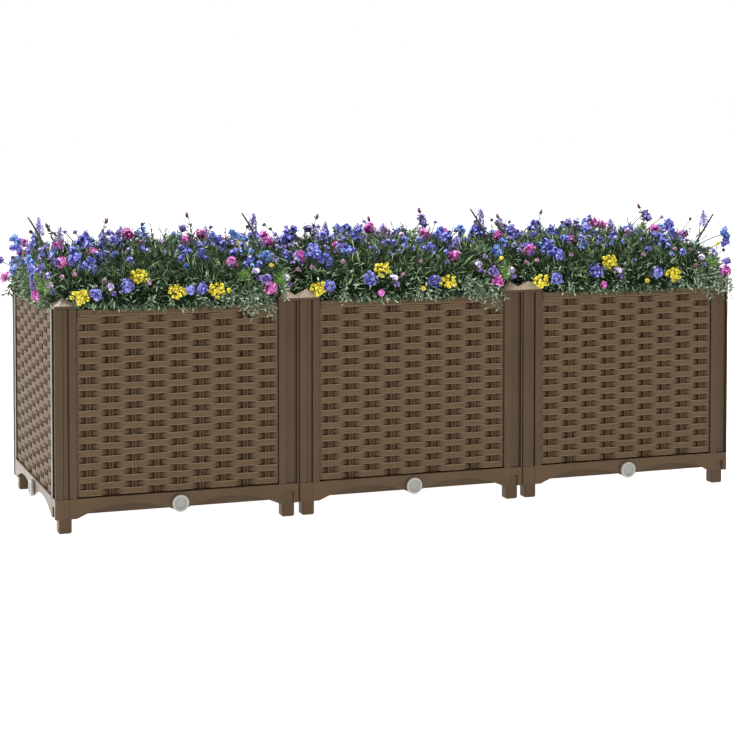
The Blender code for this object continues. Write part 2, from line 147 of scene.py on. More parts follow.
def mesh_piece(name, points, faces, finish, tones=None, reach=None, across=None):
    """An object at the origin from an array of points and arrays of faces, with its attributes and finish."""
    corners = np.concatenate([group.ravel() for group in faces]).astype(np.int32)
    sizes = np.concatenate([np.full(len(group), group.shape[1]) for group in faces])
    starts = np.concatenate([[0], np.cumsum(sizes)[:-1]]).astype(np.int32)
    mesh = bpy.data.meshes.new(name)
    mesh.vertices.add(len(points))
    mesh.vertices.foreach_set("co", points.astype(np.float32).ravel())
    mesh.loops.add(len(corners))
    mesh.loops.foreach_set("vertex_index", corners)
    mesh.polygons.add(len(sizes))
    mesh.polygons.foreach_set("loop_start", starts)
    mesh.update(calc_edges=True)
    mesh.validate()
    for label, values in (("tone", tones), ("reach", reach), ("across", across)):
        if values is not None:
            layer = mesh.attributes.new(label, "FLOAT", "POINT")
            layer.data.foreach_set("value", values.astype(np.float32))
    mesh.polygons.foreach_set("use_smooth", np.full(len(mesh.polygons), True))
    mesh.materials.append(finish)
    piece = bpy.data.objects.new(name, mesh)
    bpy.context.scene.collection.objects.link(piece)
    return piece


def stands_for(piece, node):
    """Puts a piece in the place of one of the bed's solids."""
    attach(piece, "root")
    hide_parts(node)


def unit(vectors):
    """The vectors at length one."""
    return vectors / np.maximum(np.linalg.norm(vectors, axis=-1, keepdims=True), 1e-9)


def frames_towards(directions, spins):
    """For each direction, three axes whose third is the direction, turned about it by the spin."""
    z = unit(directions)
    helper = np.where(np.abs(z[:, 2:]) < 0.9, [[0.0, 0.0, 1.0]], [[1.0, 0.0, 0.0]])
    x = unit(np.cross(helper, z))
    y = np.cross(z, x)
    c, s = np.cos(spins)[:, None], np.sin(spins)[:, None]
    return np.stack([x * c + y * s, y * c - x * s, z], axis=-1)


def held_in(points):
    """The points with their reach past the planters' ends and sides eased off: beyond a limit, the excess e
    becomes r * tanh(e / r)."""
    held = points.copy()
    for axis, limit, ease in REACH:
        far = np.abs(points[:, axis])
        excess = np.maximum(far - limit, 0)
        held[:, axis] = np.sign(points[:, axis]) * (np.minimum(far, limit) + ease * np.tanh(excess / ease))
    return held


class Bunch:
    """Many copies of small shapes, gathered into one mesh."""

    def __init__(self):
        self.points, self.faces, self.tones, self.reach, self.count = [], [], [], [], 0

    def add(self, shape, origins, directions, sizes, tones, spins=None):
        """Copies of a shape: its third axis goes along each direction, and its size is multiplied."""
        points, reach, faces = shape
        count = len(origins)
        spins = rng.uniform(0, 2 * math.pi, count) if spins is None else spins
        sizes = np.broadcast_to(np.reshape(sizes, (-1, 1) if np.ndim(sizes) < 2 else np.shape(sizes)), (count, 3))
        axes = frames_towards(np.broadcast_to(directions, (count, 3)), spins)
        placed = np.einsum("nij,npj->npi", axes, points[None] * sizes[:, None]) + origins[:, None]
        self.points.append(placed.reshape(-1, 3))
        self.tones.append(np.repeat(np.broadcast_to(tones, count), len(points)))
        self.reach.append(np.tile(reach, count))
        shift = self.count + np.arange(count)[:, None, None] * len(points)
        self.faces += [(group[None] + shift).reshape(-1, group.shape[1]) for group in faces]
        self.count += count * len(points)

    def loose(self, shape, tone):
        """One more shape, already in its place."""
        points, reach, faces = shape
        self.points.append(points)
        self.tones.append(np.full(len(points), float(tone)))
        self.reach.append(reach)
        self.faces += [group + self.count for group in faces]
        self.count += len(points)

    def piece(self, name, finish):
        """The whole bunch as one object."""
        tones, reach = np.concatenate(self.tones), np.concatenate(self.reach)
        return mesh_piece(name, held_in(np.concatenate(self.points)), self.faces, finish, tones, reach)


def plant_pieces(*rows):
    """Bunches of plants, each with its name and finish, as pieces of the bed."""
    for bunch, name, finish in rows:
        piece = bunch.piece(name, finish)
        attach(piece, "root")


def tube(path, radii, sides):
    """A round profile carried along a path: at each point a ring of the given radius, square to the path."""
    along = unit(np.gradient(path, axis=0))
    helper = np.where(np.abs(along[:, :1]) < 0.8, [[1.0, 0.0, 0.0]], [[0.0, 1.0, 0.0]])
    u = unit(np.cross(along, helper))
    v = np.cross(along, u)
    turn = circle(sides)[:, None]
    ring = np.cos(turn) * u[:, None] + np.sin(turn) * v[:, None]
    points = path[:, None] + ring * np.broadcast_to(radii, len(path))[:, None, None]
    return points.reshape(-1, 3), np.repeat(np.linspace(0, 1, len(path)), sides), tube_faces(len(path), sides)


def bowed(start, end, sag, steps):
    """A path from start to end that bows out by the sag vector: the straight line plus sag times 4t(1-t)."""
    t = np.linspace(0, 1, steps)[:, None]
    return (1 - t) * np.asarray(start) + t * np.asarray(end) + 4 * t * (1 - t) * np.asarray(sag)


# Finishes


class Finish:
    """A Principled material with short ways to add nodes to it."""

    def __init__(self, name, roughness=0.5, **values):
        self.material = bpy.data.materials.new(name)
        self.material.use_nodes = True
        self.tree = self.material.node_tree
        self.shader = self.tree.nodes["Principled BSDF"]
        self.shader.inputs["Roughness"].default_value = roughness
        for label, value in values.items():
            self.shader.inputs[label.replace("_", " ")].default_value = value
        self.coordinates = self.tree.nodes.new("ShaderNodeTexCoord").outputs["Object"]

    def node(self, kind, values=(), **settings):
        """A node with its settings, and its inputs given as values or links by name."""
        made = self.tree.nodes.new(kind)
        for label, value in settings.items():
            setattr(made, label, value)
        for label, value in dict(values).items():
            if isinstance(value, bpy.types.NodeSocket):
                self.tree.links.new(value, made.inputs[label])
            else:
                made.inputs[label].default_value = value
        return made

    def stretched(self, scale):
        """Object coordinates stretched by a scale along each axis."""
        return self.node("ShaderNodeMapping", {"Vector": self.coordinates, "Scale": scale}).outputs["Vector"]

    def noise(self, scale, detail=3.0, vector=None, roughness=0.55):
        """Fractal noise from 0 to 1."""
        values = {"Vector": vector or self.coordinates, "Scale": scale, "Detail": detail, "Roughness": roughness}
        return self.node("ShaderNodeTexNoise", values).outputs["Fac"]

    def attribute(self, name):
        """A number kept on the piece's points."""
        return self.node("ShaderNodeAttribute", attribute_name=name).outputs["Fac"]

    def maths(self, operation, a, b=0.0, clamp=False):
        """One arithmetic step."""
        return self.node("ShaderNodeMath", {0: a, 1: b}, operation=operation, use_clamp=clamp).outputs[0]

    def ramp(self, factor, *stops):
        """Colours along a factor, given as (place, colour)."""
        made = self.node("ShaderNodeValToRGB", {"Fac": factor})
        elements = made.color_ramp.elements
        while len(elements) < len(stops):
            elements.new(0.5)
        for element, (place, colour) in zip(elements, stops):
            element.position = place
            element.color = (*colour, 1)
        return made.outputs["Color"]

    def mixed(self, factor, a, b):
        """Two colours mixed."""
        a, b = (value if isinstance(value, bpy.types.NodeSocket) else (*value, 1) for value in (a, b))
        return self.node("ShaderNodeMix", {0: factor, 6: a, 7: b}, data_type="RGBA").outputs[2]

    def spread(self, factor, low, high):
        """The factor from 0 to 1 carried to the range from low to high."""
        return self.node("ShaderNodeMapRange", {"Value": factor, "To Min": low, "To Max": high}).outputs["Result"]

    def colour(self, socket):
        """Gives the finish its colour."""
        self.tree.links.new(socket, self.shader.inputs["Base Color"])

    def rough(self, socket):
        """Gives the finish its roughness."""
        self.tree.links.new(socket, self.shader.inputs["Roughness"])

    def bump(self, height, distance, strength=1.0):
        """Fine relief, in metres, on top of any relief already there."""
        values = {"Height": height, "Distance": distance, "Strength": strength}
        earlier = self.shader.inputs["Normal"]
        if earlier.is_linked:
            values["Normal"] = earlier.links[0].from_socket
        self.tree.links.new(self.node("ShaderNodeBump", values).outputs["Normal"], earlier)


def moulded_brown(name, dust_and_top_light_range, light=1.0):
    """Satin moulded plastic: faint cloudy colour, fine grain, and faces that look up paled, by dust and, where
    strong as on the caps, by painted top light. Channel walls marked on the posts are painted almost black as shade,
    and light scales the colour, which makes the base's copy lighter as painted light.
    """
    f = Finish(name, 0.4, Specular_IOR_Level=0.26)
    cloud = f.noise(14.0, 4.0)
    dark, pale = np.array([0.048, 0.0245, 0.0075]) * light, np.array([0.061, 0.0325, 0.011]) * light
    base = f.ramp(cloud, (0.3, tuple(dark)), (0.7, tuple(pale)))
    streak = f.noise(1.0, 3.0, f.stretched((220.0, 220.0, 9.0)))
    base = f.mixed(f.spread(streak, 0.0, 0.3), base, (0.04, 0.022, 0.009))
    # Painted shade: faces marked on the posts' channel walls and beside the panels go almost black, and rougher
    painted_channel_shade = f.attribute("painted_channel_shade")
    base = f.mixed(painted_channel_shade, base, (0.014, 0.007, 0.003))
    up = f.node("ShaderNodeSeparateXYZ", {"Vector": f.node("ShaderNodeNewGeometry").outputs["Normal"]}).outputs["Z"]
    # Faces that look up are paled: dust, and on the caps mostly painted top light
    dust_and_top_light = f.maths("MULTIPLY", f.maths("MAXIMUM", up, 0.0), f.spread(f.noise(60.0, 5.0), *dust_and_top_light_range))
    f.colour(f.mixed(dust_and_top_light, base, (0.3, 0.24, 0.18)))
    f.rough(f.maths("ADD", f.spread(f.noise(45.0, 3.0), 0.3, 0.46), f.maths("MULTIPLY", painted_channel_shade, 0.5), clamp=True))
    f.bump(f.noise(1500.0, 2.0), 0.00006, 0.6)
    f.bump(f.noise(24.0, 2.0), 0.0006, 0.15)
    return f.material


def woven_brown():
    """Strap plastic: lengthwise grain, lighter crowns, and darker where the strap goes back behind the stakes; the
    tone paints a highlight along the top edges, and the shade and shadow in the recesses.
    """
    f = Finish("woven_brown", 0.5, Specular_IOR_Level=0.12)
    base = f.ramp(
        f.attribute("tone"),
        (0.0, (0.016, 0.008, 0.003)),
        (0.35, (0.048, 0.028, 0.0125)),
        (0.75, (0.113, 0.074, 0.041)),
        (1.0, (0.19, 0.136, 0.086)),
    )
    along = f.maths("MULTIPLY", f.attribute("reach"), 11.0)
    across = f.maths("MULTIPLY", f.attribute("across"), 0.62)
    lane = f.node("ShaderNodeCombineXYZ", {"X": along, "Y": across}).outputs["Vector"]
    grain = f.noise(1.6, 5.0, lane, 0.6)
    lines = f.maths("MULTIPLY", f.maths("SUBTRACT", grain, 0.34), 1.9, clamp=True)
    f.colour(f.mixed(f.maths("MULTIPLY", lines, 0.62), base, (0.042, 0.024, 0.0105)))
    f.rough(f.spread(grain, 0.5, 0.7))
    f.bump(grain, 0.0005, 0.7)
    f.bump(f.noise(1400.0, 2.0), 0.00005, 0.6)
    return f.material


def vent_painted_shade():
    """The inside of a vent hole, painted near-black as shade."""
    f = Finish("vent_painted_shade", 0.8, Specular_IOR_Level=0.1)
    f.colour(f.ramp(f.noise(300.0), (0.3, (0.006, 0.004, 0.003)), (0.8, (0.016, 0.011, 0.008))))
    return f.material


def plug_grey():
    """Pale grey plug: clean satin face with faint rings of tone about its middle: a painted highlight on the raised
    rim, and painted shade in the crease round the dish and down the side.
    """
    f = Finish("plug_grey", 0.34)
    base = f.ramp(
        f.attribute("tone"),
        (0.0, (0.25, 0.246, 0.228)),
        (0.5, (0.2, 0.196, 0.18)),
        (0.75, (0.25, 0.245, 0.222)),
        (1.0, (0.325, 0.32, 0.292)),
    )
    f.colour(f.mixed(f.spread(f.noise(70.0, 4.0), 0.0, 0.18), base, (0.2, 0.19, 0.17)))
    f.rough(f.spread(f.noise(150.0), 0.28, 0.45))
    f.bump(f.noise(900.0, 2.0), 0.00004, 0.5)
    return f.material


def dark_grid():
    """Dark recycled plastic of the grid under the soil."""
    f = Finish("dark_grid", 0.62)
    f.colour(f.ramp(f.noise(40.0, 4.0), (0.3, (0.04, 0.033, 0.028)), (0.7, (0.07, 0.058, 0.048))))
    f.rough(f.spread(f.noise(90.0), 0.5, 0.75))
    f.bump(f.noise(700.0, 3.0), 0.0001, 0.5)
    return f.material


def potting_soil():
    """Moist potting soil: dark crumbs with pale flecks of bark and fibre."""
    f = Finish("potting_soil", 0.92)
    crumbs = f.node("ShaderNodeTexVoronoi", {"Vector": f.coordinates, "Scale": 260.0}).outputs["Distance"]
    dark, middle, fleck = (0.016, 0.01, 0.006), (0.045, 0.028, 0.017), (0.11, 0.072, 0.042)
    base = f.ramp(f.noise(120.0, 6.0), (0.3, dark), (0.6, middle), (0.75, fleck))
    f.colour(f.mixed(f.spread(crumbs, 0.0, 0.6), base, (0.01, 0.007, 0.004)))
    f.bump(crumbs, 0.0014, 0.8)
    f.bump(f.noise(500.0, 5.0), 0.0008, 0.6)
    return f.material


def leaf_finish(name, dark, middle, pale, base_shade=0.45, roughness=0.5, shine=0.22):
    """Leaf green: each leaf has its own tone between three greens, and is darker towards its root, as painted shade
    deep in the foliage.
    """
    f = Finish(name, roughness, Specular_IOR_Level=shine)
    tone = f.attribute("tone")
    speck = f.spread(f.noise(420.0, 3.0), -0.12, 0.12)
    green = f.ramp(f.maths("ADD", tone, speck, clamp=True), (0.0, dark), (0.5, middle), (1.0, pale))
    # Painted shade: leaves darken towards their roots, where they sit deep in the foliage
    root = f.maths("SUBTRACT", 1.0, f.attribute("reach"), clamp=True)
    shade = f.maths("MULTIPLY", f.maths("MULTIPLY", root, root), base_shade)
    f.colour(f.mixed(shade, green, tuple(0.35 * c for c in dark)))
    f.rough(f.spread(f.noise(260.0), roughness - 0.1, roughness + 0.12))
    f.bump(f.noise(900.0, 3.0), 0.0002, 0.5)
    return f.material


def petal_finish(name, throat, body, edge, roughness=0.45):
    """Petal colour: a darker throat, the flower's own colour, and a paler edge, with fine veins; the dark throat and
    pale edge are partly the petals' own colouring and partly painted shade and painted highlight.
    """
    f = Finish(name, roughness, Specular_IOR_Level=0.16)
    tone = f.spread(f.attribute("tone"), -0.44, 0.5)
    vein = f.spread(f.noise(700.0, 4.0), -0.1, 0.1)
    place = f.maths("ADD", f.maths("ADD", f.attribute("reach"), tone), vein, clamp=True)
    f.colour(f.ramp(place, (0.05, throat), (0.45, body), (0.95, edge)))
    f.rough(f.spread(f.noise(350.0), roughness - 0.08, roughness + 0.15))
    f.bump(f.noise(1100.0, 3.0), 0.00015, 0.5)
    return f.material


def bark_finish(name, dark, pale):
    """Stalk or bark: long fine streaks along Z between two colours."""
    f = Finish(name, 0.7)
    streak = f.noise(1.0, 5.0, f.stretched((900.0, 900.0, 120.0)))
    f.colour(f.ramp(streak, (0.3, dark), (0.7, pale)))
    f.bump(streak, 0.0004, 0.7)
    return f.material


def pale_floor():
    """Plain pale floor."""
    f = Finish("pale_floor", 0.9, Emission_Color=(1, 1, 1, 1), Emission_Strength=1.0)
    f.colour(f.ramp(f.noise(2.0), (0.3, (0.5, 0.5, 0.5)), (0.7, (0.52, 0.52, 0.52))))
    return f.material


BROWN = moulded_brown("moulded_brown", (0.05, 0.35))
# The base is the posts' plastic made 1.3 times lighter: painted light
BASE = moulded_brown("base_brown_painted_lighter", (0.05, 0.35), 1.3)
# The caps' upward faces are paled strongly: painted top light, with some dust
CAP = moulded_brown("cap_brown_painted_top_light", (0.55, 0.8))
WOVEN = woven_brown()
VENT = vent_painted_shade()
PLUG = plug_grey()
GRID = dark_grid()
SOIL = potting_soil()
# Near-black greens: painted shade inside the leafy mass
BED = leaf_finish("undergrowth_in_painted_shade", (0.002, 0.005, 0.002), (0.006, 0.012, 0.005), (0.016, 0.024, 0.009), 0.0, 0.9, 0.05)
BLADE = leaf_finish("dark_leaves", (0.005, 0.015, 0.005), (0.03, 0.062, 0.02), (0.15, 0.225, 0.085), 0.97)
PALE = leaf_finish("pale_leaves", (0.04, 0.08, 0.024), (0.16, 0.25, 0.09), (0.48, 0.57, 0.31), 0.92)
SAGE = leaf_finish("sage_leaves", (0.014, 0.036, 0.018), (0.09, 0.16, 0.082), (0.5, 0.61, 0.43), 0.75)
SPRIG = leaf_finish("dark_sprigs", (0.008, 0.022, 0.009), (0.03, 0.064, 0.026), (0.12, 0.185, 0.085), 0.6)
LIME = leaf_finish("lime_tufts", (0.04, 0.1, 0.016), (0.1, 0.21, 0.035), (0.24, 0.38, 0.08))
STALK = bark_finish("green_stalks", (0.022, 0.04, 0.016), (0.085, 0.115, 0.055))
TWIG = bark_finish("brown_reeds", (0.014, 0.014, 0.008), (0.06, 0.056, 0.034))
YELLOW = petal_finish("yellow_petals", (0.11, 0.07, 0.003), (0.56, 0.44, 0.014), (0.82, 0.74, 0.09))
VIOLET = petal_finish("violet_petals", (0.009, 0.007, 0.07), (0.05, 0.042, 0.29), (0.33, 0.35, 0.76))
BLUE = petal_finish("blue_violet_petals", (0.009, 0.008, 0.085), (0.056, 0.056, 0.37), (0.29, 0.32, 0.79))
SKY = petal_finish("sky_blue_petals", (0.01, 0.02, 0.15), (0.055, 0.125, 0.46), (0.27, 0.44, 0.78))
MAGENTA = petal_finish("magenta_petals", (0.05, 0.002, 0.034), (0.36, 0.015, 0.255), (0.82, 0.27, 0.66))
PURPLE = petal_finish("purple_petals", (0.022, 0.01, 0.065), (0.09, 0.048, 0.26), (0.31, 0.23, 0.56))
LAVENDER = petal_finish("lavender_petals", (0.03, 0.022, 0.11), (0.13, 0.105, 0.34), (0.43, 0.4, 0.69))
BLUSH = petal_finish("white_violet_petals", (0.16, 0.09, 0.32), (0.48, 0.36, 0.6), (0.8, 0.72, 0.82))
BUD = petal_finish("dusky_buds", (0.08, 0.03, 0.055), (0.24, 0.1, 0.18), (0.5, 0.29, 0.41), 0.6)


# Box of each planter


def turned(points, turns):
    """Points turned about the planter's middle by quarter circles."""
    angle = turns * math.pi / 2
    c, s = round(math.cos(angle)), round(math.sin(angle))
    x, y, z = points.T
    return np.stack([c * x - s * y, s * x + c * y, z], axis=-1)


def channel_walls(mesh):
    """The upright faces of a post that stand in its channels or face a panel: 1 for those, 0 for the others, which
    the finish paints almost black as shade. Such a face is square to the side it lies behind, and less than 9 mm
    behind it."""
    count = len(mesh.polygons)
    normal, centre = np.empty(count * 3), np.empty(count * 3)
    mesh.polygons.foreach_get("normal", normal)
    mesh.polygons.foreach_get("center", centre)
    normal, centre = np.abs(normal.reshape(-1, 3)), centre.reshape(-1, 3)
    middle = [PLANTERS[min(PLANTERS, key=lambda k: abs(PLANTERS[k] - centre[:, 0].mean()))], 0]
    behind = HALF - np.abs(centre[:, :2] - middle)
    side = np.argmin(behind, axis=1)
    rows = np.arange(count)
    square = normal[rows, 1 - side] > 0.5
    depth = behind[rows, side]
    return (square & (depth > 0.0003) & (depth < 0.009)).astype(float)


def softened(node, finish):
    """A copy of a moulded node with its doubles merged and its edges rounded by a bevel, in its place."""
    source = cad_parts[node]
    bm = bmesh.new()
    bm.from_mesh(source.data)
    bmesh.ops.remove_doubles(bm, verts=bm.verts, dist=1e-5)
    bmesh.ops.dissolve_limit(bm, angle_limit=0.01, verts=bm.verts, edges=bm.edges)
    mesh = bpy.data.meshes.new(node + "_finish")
    bm.to_mesh(mesh)
    bm.free()
    mesh.materials.clear()
    mesh.materials.append(finish)
    piece = bpy.data.objects.new(node + "_finish", mesh)
    bpy.context.scene.collection.objects.link(piece)
    edge = piece.modifiers.new("Bevel", "BEVEL")
    edge.width = EDGE
    edge.segments = 2
    edge.limit_method = "ANGLE"
    edge.angle_limit = math.radians(12 if node.endswith("_cap") else 35)
    edge.harden_normals = True
    mesh.polygons.foreach_set("use_smooth", np.full(len(mesh.polygons), True))
    if node.endswith("_post"):
        # marks the faces that get painted shade
        mesh.attributes.new("painted_channel_shade", "FLOAT", "FACE").data.foreach_set("value", channel_walls(mesh))
    smooth = piece.modifiers.new("Normals", "WEIGHTED_NORMAL")
    smooth.keep_sharp = True
    stands_for(piece, node)


def strap_surface(row, rings):
    """One woven strap. With d the distance in columns from the nearest place where it passes over the stakes, its
    front stays put up to d = 0.52, and from there goes back by STRAP_DIP * sin(90 degrees * (d - 0.52) / 0.34), at
    most STRAP_DIP. Its half height is 0.525 - 0.045 * eased(d, 0.44, 0.68) pitches, and its lower edge reaches
    0.10 pitches further down where it is behind. It stops END_GAP short of the right post. Across, it has a closed
    section with a ridged front. Returns points, tone, reach and across."""
    column = np.concatenate([-np.array(rings[::-1]), np.array(rings[1:])])[:-1] + 0.5
    u = np.concatenate([(np.arange(COLUMNS)[:, None] + column).reshape(-1), [COLUMNS]])[:, None]
    d = np.mod(u - 0.5 - row, 2)
    d = np.minimum(d, 2 - d)
    lie = STRAP_FRONT + STRAP_DIP * np.sin(0.5 * math.pi * np.clip((d - 0.52) / 0.34, 0, 1))
    flush = 1 - 0.6 * eased(d, 0.36, 0.46) * (1 - eased(d, 0.54, 0.64))
    half = PITCH * (0.525 - 0.045 * eased(d, 0.44, 0.68))
    dropped = 0.1 * PITCH * eased(d, 0.5, 0.7) * (SECTION_PLACE < -0.5)
    wander = 0.00022 * np.sin(2.1 * u + 2.3 * row) * np.clip(1 - np.abs(2 * u / COLUMNS - 1) ** 8, 0, 1)
    x = (np.minimum(u, COLUMNS - END_GAP) / COLUMNS - 0.5) * FIELD
    y = lie + SECTION_RIDGE * flush + SECTION_BACK
    z = WEAVE_TOP - (row + 0.5) * PITCH + wander + half * SECTION_PLACE - dropped
    # Painted light: the tone turns from the front tones to the painted shadow behind, and painted shade deepens
    # towards the stakes and a little at the crowns' ends
    under = eased(d, 0.56, 0.78)
    painted_recess_shade = (1 - 0.06 * eased(d, 0.38, 0.56)) * (1 - 0.5 * eased(d, 0.63, 0.83))
    tone = (FRONT_TONE_WITH_PAINTED_LIGHT * (1 - under) + BEHIND_TONE_WITH_PAINTED_SHADOW * under) * painted_recess_shade
    reach = np.broadcast_to(u / COLUMNS + row * 0.37, y.shape)
    across = np.broadcast_to(SECTION_PLACE * 4 + row * 3.3, y.shape)
    return surface(x, y - HALF, z), tone, reach, across


def straps(rings, kept):
    """All the straps of a panel, with the kept points of their section. This and the panel's other parts come as
    points, tone, reach, across and faces."""
    for row in range(STRAPS):
        points, *looks = (part[:, kept] for part in strap_surface(row, rings))
        yield points, *looks, inside_out(tube_faces(*points.shape[:2]))


def stakes(corners, rows):
    """The two stakes of every column: upright bars with a superellipse of power 3 for a section, beside the given
    straps a little further forward where the strap passes behind them, and fuller at every second one."""
    turn = circle(corners) + math.pi / corners
    round_x, round_y = (swollen(np.cos(turn), np.sin(turn), 3) * side for side in (np.cos(turn), np.sin(turn)))
    z = np.concatenate([[BASE_TOP + SEAT], WEAVE_TOP - (rows + 0.5) * PITCH, [RAIL_TOP - 0.004]])[:, None]
    # Painted shade: the stakes' sides and backs are darker than their fronts
    tone = 0.11 - 0.33 * np.minimum(np.sin(turn), 0)
    for column in range(COLUMNS):
        bare = np.concatenate([[0], (column - rows) % 2, [0]])[:, None]
        depth = STAKE_DEPTH - STAKE_RISE * bare - HALF
        swell = STAKE_HALF + 0.0001 * np.cos(math.pi * np.arange(len(z)) + column)[:, None]
        for side in (-1, 1):
            x = ((column + 0.5) / COLUMNS - 0.5) * FIELD + side * STAKE_APART
            points = surface(x + swell * round_x, depth + 0.9 * swell * round_y, z)
            yield points, tone, z * 4, column + side * 0.4, tube_faces(len(z), corners)


def rail(rings=37, sides=24):
    """The rounded bar along the top: its section is a superellipse of power 4, fluted lengthwise in front, and its
    front is dented by a cosine over every two columns."""
    c, s = np.cos(circle(sides)), np.sin(circle(sides))
    swell = swollen(c, s, 4)
    x = np.linspace(-FIELD / 2, FIELD / 2, rings)[:, None]
    dent = 0.001 * (0.5 - 0.5 * np.cos(math.pi * COLUMNS * (x / FIELD + 0.5) + math.pi))
    flute = 0.0004 * np.cos(26 * swell * c) * (s < 0)
    y = STRAP_FRONT + 0.0034 + dent + (flute + 0.0032 * swell * s) - HALF
    z = RAIL_TOP - RAIL / 2 + RAIL / 2 * (swell * c)
    # Painted shade: the tone is darker in the flute grooves and towards the back
    tone = 0.66 - 0.06 * s + 0.1 * np.cos(26 * swell * c + math.pi)
    yield surface(x, y, z), tone, x * 3, c * 4, tube_faces(rings, sides)


def back_plate(front=0.0087, back=0.0107):
    """The plain slab behind the weave, its tone set almost to black as painted shade."""
    wide = HALF - 0.0253
    low, high = BASE_TOP + SEAT, RAIL_TOP - 0.002
    edge = np.array([[-1, front, low], [-1, front, high], [-1, back, high], [-1, back, low]])
    points = np.stack([edge * [wide, 1, 1], edge * [-wide, 1, 1]]) - [0, HALF, 0]
    yield points, 0.05, 0.0, 0.0, tube_faces(2, 4)


def woven_panel(planter, turns):
    """A panel: straps woven past pairs of stakes, under a rounded rail, on a plain back plate. It has the most
    points in front and at the left end, and the fewest between two planters."""
    side = SIDES[turns]
    shown = side in ("front", "back", planter)
    closely = side == "front" or planter == side == "left"
    rings = CLOSE_RINGS if closely else SEEN_RINGS if shown else HIDDEN_RINGS
    parts = (
        straps(rings, slice(None) if closely else PLAIN_SECTION),
        stakes(8 if closely else 6, np.arange(STRAPS if shown else 0)[::-1]),
        rail(),
        back_plate(),
    )
    points, faces, count = [], [], 0
    looks = [], [], []  # tone, reach and across
    for part in parts:
        for place, *values, quads in part:
            points.append(place.reshape(-1, 3))
            for store, value in zip(looks, values):
                store.append(np.broadcast_to(value, place.shape[:-1]).reshape(-1))
            faces += [group + count for group in quads]
            count += len(points[-1])
    placed = turned(np.concatenate(points), turns) + [PLANTERS[planter], 0, 0]
    piece = mesh_piece(f"{planter}_{side}_weave", placed, faces, WOVEN, *map(np.concatenate, looks))
    stands_for(piece, f"{planter}_{side}_panel")


def vent_holes(sides=12):
    """Small elliptic sockets beside the stakes of every second column, near the panel's top and bottom: a lip
    that turns in to a deep cup, painted dark as shade, as rings of radius and depth about the hole's own middle."""
    turn = circle(sides)
    profile = np.array([[1.25, 0.006], [1.2, 0.0044], [1.0, 0.0042], [0.9, 0.005], [0.75, 0.008], [0.1, 0.0082]])
    radius, depth = profile[:, :1], profile[:, 1:]
    reach = np.repeat(np.linspace(0, 1, len(profile)), sides)
    bunch = Bunch()
    for x0 in PLANTERS.values():
        for turns in range(4):
            for column in range(1, COLUMNS, 2):
                for side, row in ((-1, 6), (1, 22)):
                    cx = ((column + 0.5) / COLUMNS - 0.5) * FIELD + side * 0.0058
                    cz = WEAVE_TOP - (row + 0.62) * PITCH
                    x = cx + 0.0019 * radius * np.cos(turn)
                    z = cz + 0.0014 * radius * np.sin(turn)
                    points = turned(surface(x, depth - HALF, z).reshape(-1, 3), turns) + [x0, 0, 0]
                    bunch.loose((points, reach, tube_faces(len(profile), sides)[::2]), 0.5)
    piece = bunch.piece("vent_holes", VENT)
    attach(piece, "root")


def drain_plug(planter, turns, sides=40):
    """A turned plug face: rings of radius, depth and tone about its middle, with a raised rim round a dish."""
    # Tones by ring: highest on the raised rim as painted highlight, lowest in the crease round the dish and down the
    # side as painted shade
    dish = [[0.0002, -0.0043, 0.0], [0.0056, -0.0043, 0.1], [0.0088, -0.0044, 0.25], [0.0093, -0.0046, 0.5]]
    rim = [[0.0097, -0.0054, 0.9], [0.0102, -0.0058, 1.0], [0.0126, -0.0058, 1.0], [0.0133, -0.0055, 0.9]]
    edge = [[0.0137, -0.0046, 0.75], [0.0137, -0.001, 0.5], [0.0135, -0.0003, 0.4]]
    shank = [[0.0078, -0.0003, 0.3], [0.0075, 0.022, 0.2], [0.0002, 0.0225, 0.2]]
    radius, depth, tone = np.array(dish + rim + edge + shank).T[..., None]
    turn = circle(sides)
    points = surface(radius * np.cos(turn), depth - HALF, PLUG_HEIGHT + radius * np.sin(turn))
    placed = turned(points.reshape(-1, 3), turns) + [PLANTERS[planter], 0, 0]
    faces = inside_out(tube_faces(len(radius), sides))
    name = f"{planter}_{SIDES[turns]}_plug"
    piece = mesh_piece(f"{name}_face", placed, faces, PLUG, np.repeat(tone, sides))
    stands_for(piece, name)


def soil_surface(planter):
    """The soil: a notched square of ground whose height rises to a low crown and crumbles by three sines,
    with upright sides down to the grid."""
    n = 61
    a = np.linspace(-1, 1, n)
    x, y = np.meshgrid(a, a, indexing="ij")
    inner = HALF - 0.0365
    reach = HALF - 0.011
    fold = np.maximum(np.abs(x), np.abs(y))
    corner = (np.abs(x) > inner / reach) & (np.abs(y) > inner / reach)
    px = np.where(corner, np.sign(x) * inner, x * reach)
    py = np.where(corner, np.sign(y) * inner, y * reach)
    crown = -0.0075 * np.clip((fold - 0.82) / 0.18, 0, 1) ** 2
    crumbs = 0.0016 * np.sin(190 * px + 3 * np.sin(90 * py)) * np.sin(210 * py + 2) * np.clip((1 - fold) * 8, 0, 1)
    z = SOIL_TOP - 0.0025 + crown + crumbs
    top = surface(px, py, z).reshape(-1, 3) + [PLANTERS[planter], 0, 0]
    piece = mesh_piece(f"{planter}_ground", top, [grid_faces(n, n)], SOIL)
    bm = bmesh.new()
    bm.from_mesh(piece.data)
    rim = [edge for edge in bm.edges if edge.is_boundary]
    low = bmesh.ops.extrude_edge_only(bm, edges=rim)["geom"]
    for vert in [item for item in low if isinstance(item, bmesh.types.BMVert)]:
        vert.co.z = BASE_TOP + 0.004
    bmesh.ops.remove_doubles(bm, verts=bm.verts, dist=1e-6)
    bmesh.ops.holes_fill(bm, edges=[edge for edge in bm.edges if edge.is_boundary])
    bmesh.ops.recalc_face_normals(bm, faces=bm.faces)
    bm.to_mesh(piece.data)
    bm.free()
    stands_for(piece, f"{planter}_soil")


# Plants


